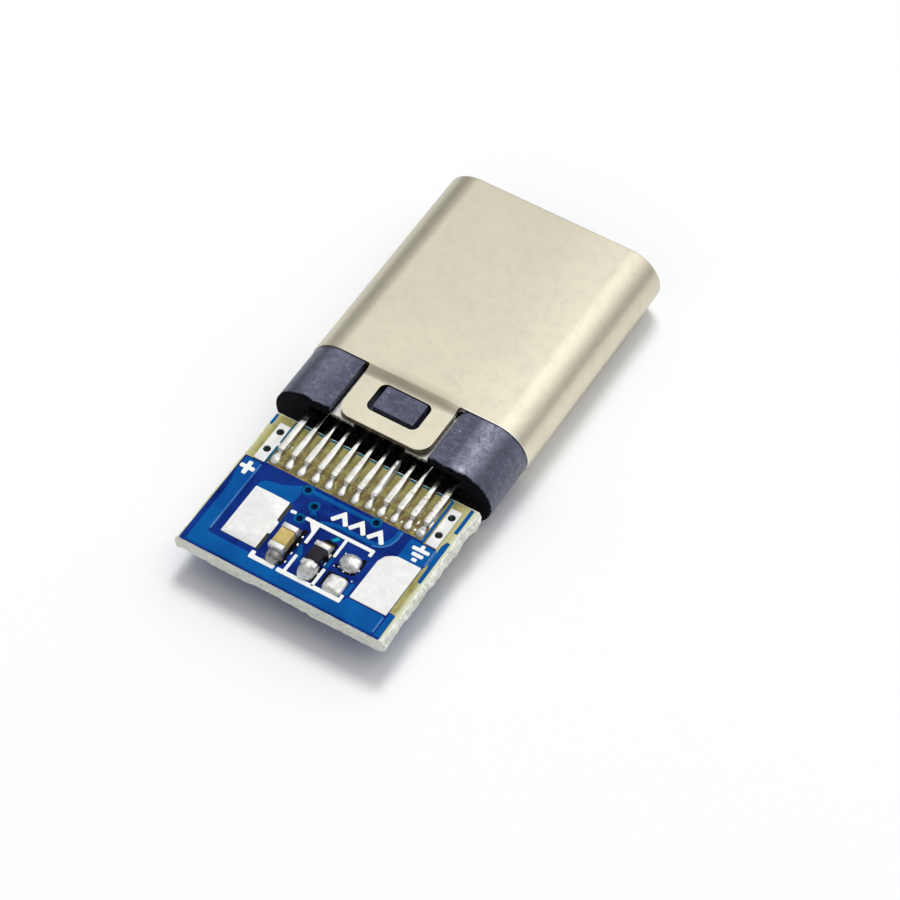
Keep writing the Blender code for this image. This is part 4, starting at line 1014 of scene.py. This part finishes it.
def dome(name, x, y, rx, ry, height, seed, finish, amount, flat=0.55, base=BOARD_TOP, square=2.0):
    """A drop of solder as a polar grid: round or squarish, and uneven at its rim."""
    rings = 14
    around = 48
    points = [(x, y, base + height)]
    for r in range(1, rings + 1):
        share = r / rings
        for a in range(around):
            angle = 2 * math.pi * a / around
            cos, sin = math.cos(angle), math.sin(angle)
            reach = (abs(cos) ** square + abs(sin) ** square) ** (-1 / square)
            reach *= 1 + 0.07 * noise.noise(Vector((cos * 1.3 + seed, sin * 1.3, seed * 2.0)))
            px = x + rx * reach * share * cos
            py = y + ry * reach * share * sin
            rise = max(0, 1 - share ** 2.2) ** flat
            pz = base - 0.004 + height * rise
            here = (px, py, 0)
            move = wobble(here, 2.6, seed, amount * rise) + wobble(here, 7.0, seed + 9, amount * 0.2 * rise)
            points.append((px + move.x, py + move.y, pz + move.z))
    faces = [(0, 1 + a, 1 + (a + 1) % around) for a in range(around)]
    for r in range(rings - 1):
        for a in range(around):
            b = (a + 1) % around
            start = 1 + r * around
            faces.append((start + a, start + around + a, start + around + b, start + b))
    faces.append(tuple(range(len(points) - around, len(points))))
    add_piece(name, make_mesh(name, points, faces), finish, 80)


# Dark patches of charred flux, partly painted shade beside the chips and below the spare drop.
STAINS_AND_SHADE = [  # middle and reach
    (-0.34, -4.45, 0.11, 0.42), (-0.36, -5.1, 0.12, 0.34), (-0.34, -3.98, 0.1, 0.16), (0.84, -4.4, 0.08, 0.4),
    (0.86, -5.12, 0.09, 0.36), (0.62, -3.9, 0.3, 0.1), (1.5, -4.5, 0.4, 0.16), (1.86, -4.12, 0.1, 0.34),
    (1.16, -5.1, 0.07, 0.36), (1.52, -4.8, 0.36, 0.07),
]
SPECKS = [  # middle and reach
    (-0.3, -4.5, 0.08, 0.13), (-0.31, -4.16, 0.06, 0.08), (-0.27, -4.86, 0.05, 0.08),
    (-0.26, -5.24, 0.05, 0.07), (0.84, -4.32, 0.04, 0.14), (0.85, -4.66, 0.035, 0.12),
    (0.86, -5.1, 0.04, 0.12), (1.2, -3.98, 0.05, 0.05), (1.13, -4.55, 0.04, 0.04), (1.9, -4.32, 0.05, 0.05),
    (1.93, -4.78, 0.04, 0.05), (-1.02, -5.36, 0.05, 0.05), (2.5, -1.78, 0.05, 0.16),
    (2.55, -2.05, 0.07, 0.07), (2.86, -2.1, 0.08, 0.1), (2.9, -1.62, 0.05, 0.2), (2.04, -2.02, 0.05, 0.09),
    (2.3, -1.52, 0.04, 0.12), (-2.52, -1.4, 0.03, 0.1), (-2.95, -1.5, 0.05, 0.12), (1.02, -2.08, 0.04, 0.06),
    (1.52, -2.14, 0.05, 0.05), (1.28, -4.52, 0.05, 0.04), (1.5, -4.6, 0.06, 0.04), (1.72, -4.55, 0.04, 0.05),
]
FLUX_SPOTS = [  # middle and reach
    (-0.48, -1.62, 0.06), (0.02, -1.68, 0.05), (0.27, -1.62, 0.03), (1.75, -1.74, 0.07), (2.02, -1.87, 0.05),
    (2.28, -1.8, 0.06), (2.52, -1.88, 0.04), (-2.26, -1.66, 0.03), (1.27, -1.72, 0.04), (2.5, -1.5, 0.05),
]


def make_solder():
    for side, under in SIDES:
        solder_row(side, under)
    drops = (
        ("capacitor_near", -0.65, -5.24, 0.29, 0.31, 0.34, 3, SOLDER_DULL, 0.04, 0.6, 3.0),
        ("capacitor_far", CAPACITOR_X + 0.02, -4.12, 0.27, 0.14, 0.2, 5, SOLDER_DULL, 0.03, 0.55, 3.0),
        ("resistor_near", RESISTOR_X, -5.15, 0.3, 0.38, 0.42, 8, SOLDER_BLOB, 0.03, 0.5, 3.2),
        ("resistor_far", RESISTOR_X + 0.01, -4.12, 0.27, 0.13, 0.18, 12, SOLDER_DULL, 0.03, 0.55, 3.0),
        ("spare_far", 1.53, -4.22, 0.37, 0.35, 0.19, 17, SOLDER_ROUGH, 0.05, 0.45, 2.6),
        ("spare_near", 1.55, -5.17, 0.36, 0.34, 0.17, 23, SOLDER_BLOB, 0.04, 0.32, 6.0),
    )
    for name, *settings, square in drops:
        dome(f"solder_{name}", *settings, square=square)
    # Charred flux, partly painted shade.
    for i, (x, y, rx, ry) in enumerate(STAINS_AND_SHADE):
        dome(f"stain_{i + 1}", x, y, rx, ry, 0.012, 81 + i, CHARRED_FLUX_AND_SHADE, 0.02, 0.3, base=1.512)
    for i, (x, y, rx, ry) in enumerate(SPECKS):
        dome(f"solder_speck_{i + 1}", x, y, rx * 0.8, ry * 0.8, 0.03, 31 + i, SOLDER, 0.02, 0.4)
    for i, (x, y, r) in enumerate(FLUX_SPOTS):
        dome(f"flux_{i + 1}", x, y, r * 0.8, r * 1.9, 0.035, 51 + i, FLUX, 0.02)


def make_lands():
    """Foil under the contacts on both faces, and under the chips and the spare place."""
    half = 0.14
    lands = [rect(contact_x(i) - half, contact_x(i) + half, -2.21, -0.43) for i in range(CONTACTS)]
    levels = [(COAT, 0), (1.516, 0), (1.52, 0.006)]
    for side, under in SIDES:
        coat(f"contact_lands_{side}", lands, levels, LAND, under=under)
    spots = [
        (CAPACITOR_X, -5.26), (CAPACITOR_X, -4.16), (RESISTOR_X, -5.24), (RESISTOR_X, -4.14), (1.55, -5.18),
        (1.53, -4.25),
    ]
    shapes = [rounded_rectangle(x - 0.25, x + 0.25, y - 0.2, y + 0.2, 0.05, 3) for x, y in spots]
    coat("chip_lands", shapes, [(PRINT, 0), (1.528, 0.006)], LAND)


# CAD nodes that keep their shape

def polish(node, finish, width, smooth):
    """A better material, welded and rounded edges for a CAD node whose shape is right."""
    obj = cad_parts[node]
    mesh = obj.data
    mesh.materials.clear()
    mesh.materials.append(finish)
    if "custom_normal" in mesh.attributes:
        mesh.attributes.remove(mesh.attributes["custom_normal"])
    round_edges(obj, width, 38)
    if smooth:
        mesh.shade_smooth()
        obj.modifiers.new("normals", "WEIGHTED_NORMAL").weight = 100


# What a node's name holds, its finish and the width of its rounded edges
DRESS = (
    ("contact_", CONTACT, 0.03), ("front_insulator", BLACK, 0), ("terminal_holder", BLACK, 0.012),
    ("ground_plate", STEEL, 0.012), ("latch_plate", STEEL, 0.012), ("ground_spring", SPRING, 0.012),
    ("anchor_pad", PAD, 0.012), ("_end_", CHIP_END, 0), ("capacitor_body", CAPACITOR, 0),
    ("resistor_body", RESISTOR, 0),
)


def dress_nodes():
    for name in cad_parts:
        for part, finish, width in DRESS:
            if part in name:
                polish(name, finish, width, part != "front_insulator")


# Stage

def make_stage():
    mesh = bpy.data.meshes.new("floor")
    mesh.from_pydata([(x, y, 0) for x, y in rect(-2, 2, -2, 2)], [], [(0, 1, 2, 3)])
    floor = link_object("floor", mesh)
    mesh.materials.append(floor_finish())
    world = bpy.data.worlds.new("studio")
    bpy.context.scene.world = world
    world.use_nodes = True
    tree = world.node_tree
    coords = tree.nodes.new("ShaderNodeTexCoord")
    toward = tree.nodes.new("ShaderNodeVectorMath")
    toward.operation = "DOT_PRODUCT"
    toward.inputs[1].default_value = (0.12, 0.6, 0.791)
    tree.links.new(coords.outputs["Generated"], toward.inputs[0])
    tones = (
        (0, 0.38), (0.3, 0.38), (0.54, 0.4), (0.65, 0.5), (0.75, 0.7), (0.82, 0.95), (0.9, 1.18),
        (0.98, 1.45),
    )
    sky = tone_ramp(tree, toward.outputs["Value"], tones, (0.985, 0.99, 1))
    tree.links.new(sky, tree.nodes["Background"].inputs["Color"])
    bpy.context.scene.view_settings.view_transform = "Standard"


def make_light():
    """One soft light that no glossy surface mirrors, so that the sky alone draws the reflections."""
    light = bpy.data.lights.new("key", "AREA")
    light.shape = "RECTANGLE"
    light.size = light.size_y = 270 * MM
    light.energy = 3.65
    obj = link_object("key", light)
    obj.location = to_row((-160, 420, 760))
    obj.visible_glossy = False
    direction = Vector(to_row((0, 0, 0))) - obj.location
    obj.rotation_euler = direction.to_track_quat("-Z", "Y").to_euler()


def make_camera():
    """The photograph's view. focal and aim are in its pixels: aim is where the target shows."""
    azimuth = math.radians(31.717)
    elevation = math.radians(53.203)
    distance = 113.8
    photo = 900
    sensor = 36
    focal = 3538.3
    aim = (381.6, 457.4)
    target = Vector((0, 0, 1.19))
    side = Vector((math.cos(azimuth), math.sin(azimuth), 0))
    rise = math.sin(elevation)
    up = Vector((-math.sin(azimuth) * rise, math.cos(azimuth) * rise, math.cos(elevation)))
    right, down = [(pixel - photo / 2) / focal * distance for pixel in aim]
    place = target - side * right + up * down + side.cross(up) * distance
    data = bpy.data.cameras.new("camera")
    data.sensor_width = sensor
    data.lens = focal / photo * sensor
    data.clip_start = 0.001
    camera = link_object("camera", data)
    camera.location = to_row(place)
    camera.rotation_euler = (math.pi / 2 - elevation, 0, azimuth)
    bpy.context.scene.camera = camera


make_shell()
make_housing()
make_board()
make_masks()
make_tents()
make_wire_pads()
make_print()
make_lands()
make_solder()
dress_nodes()
make_stage()
make_light()
make_camera()
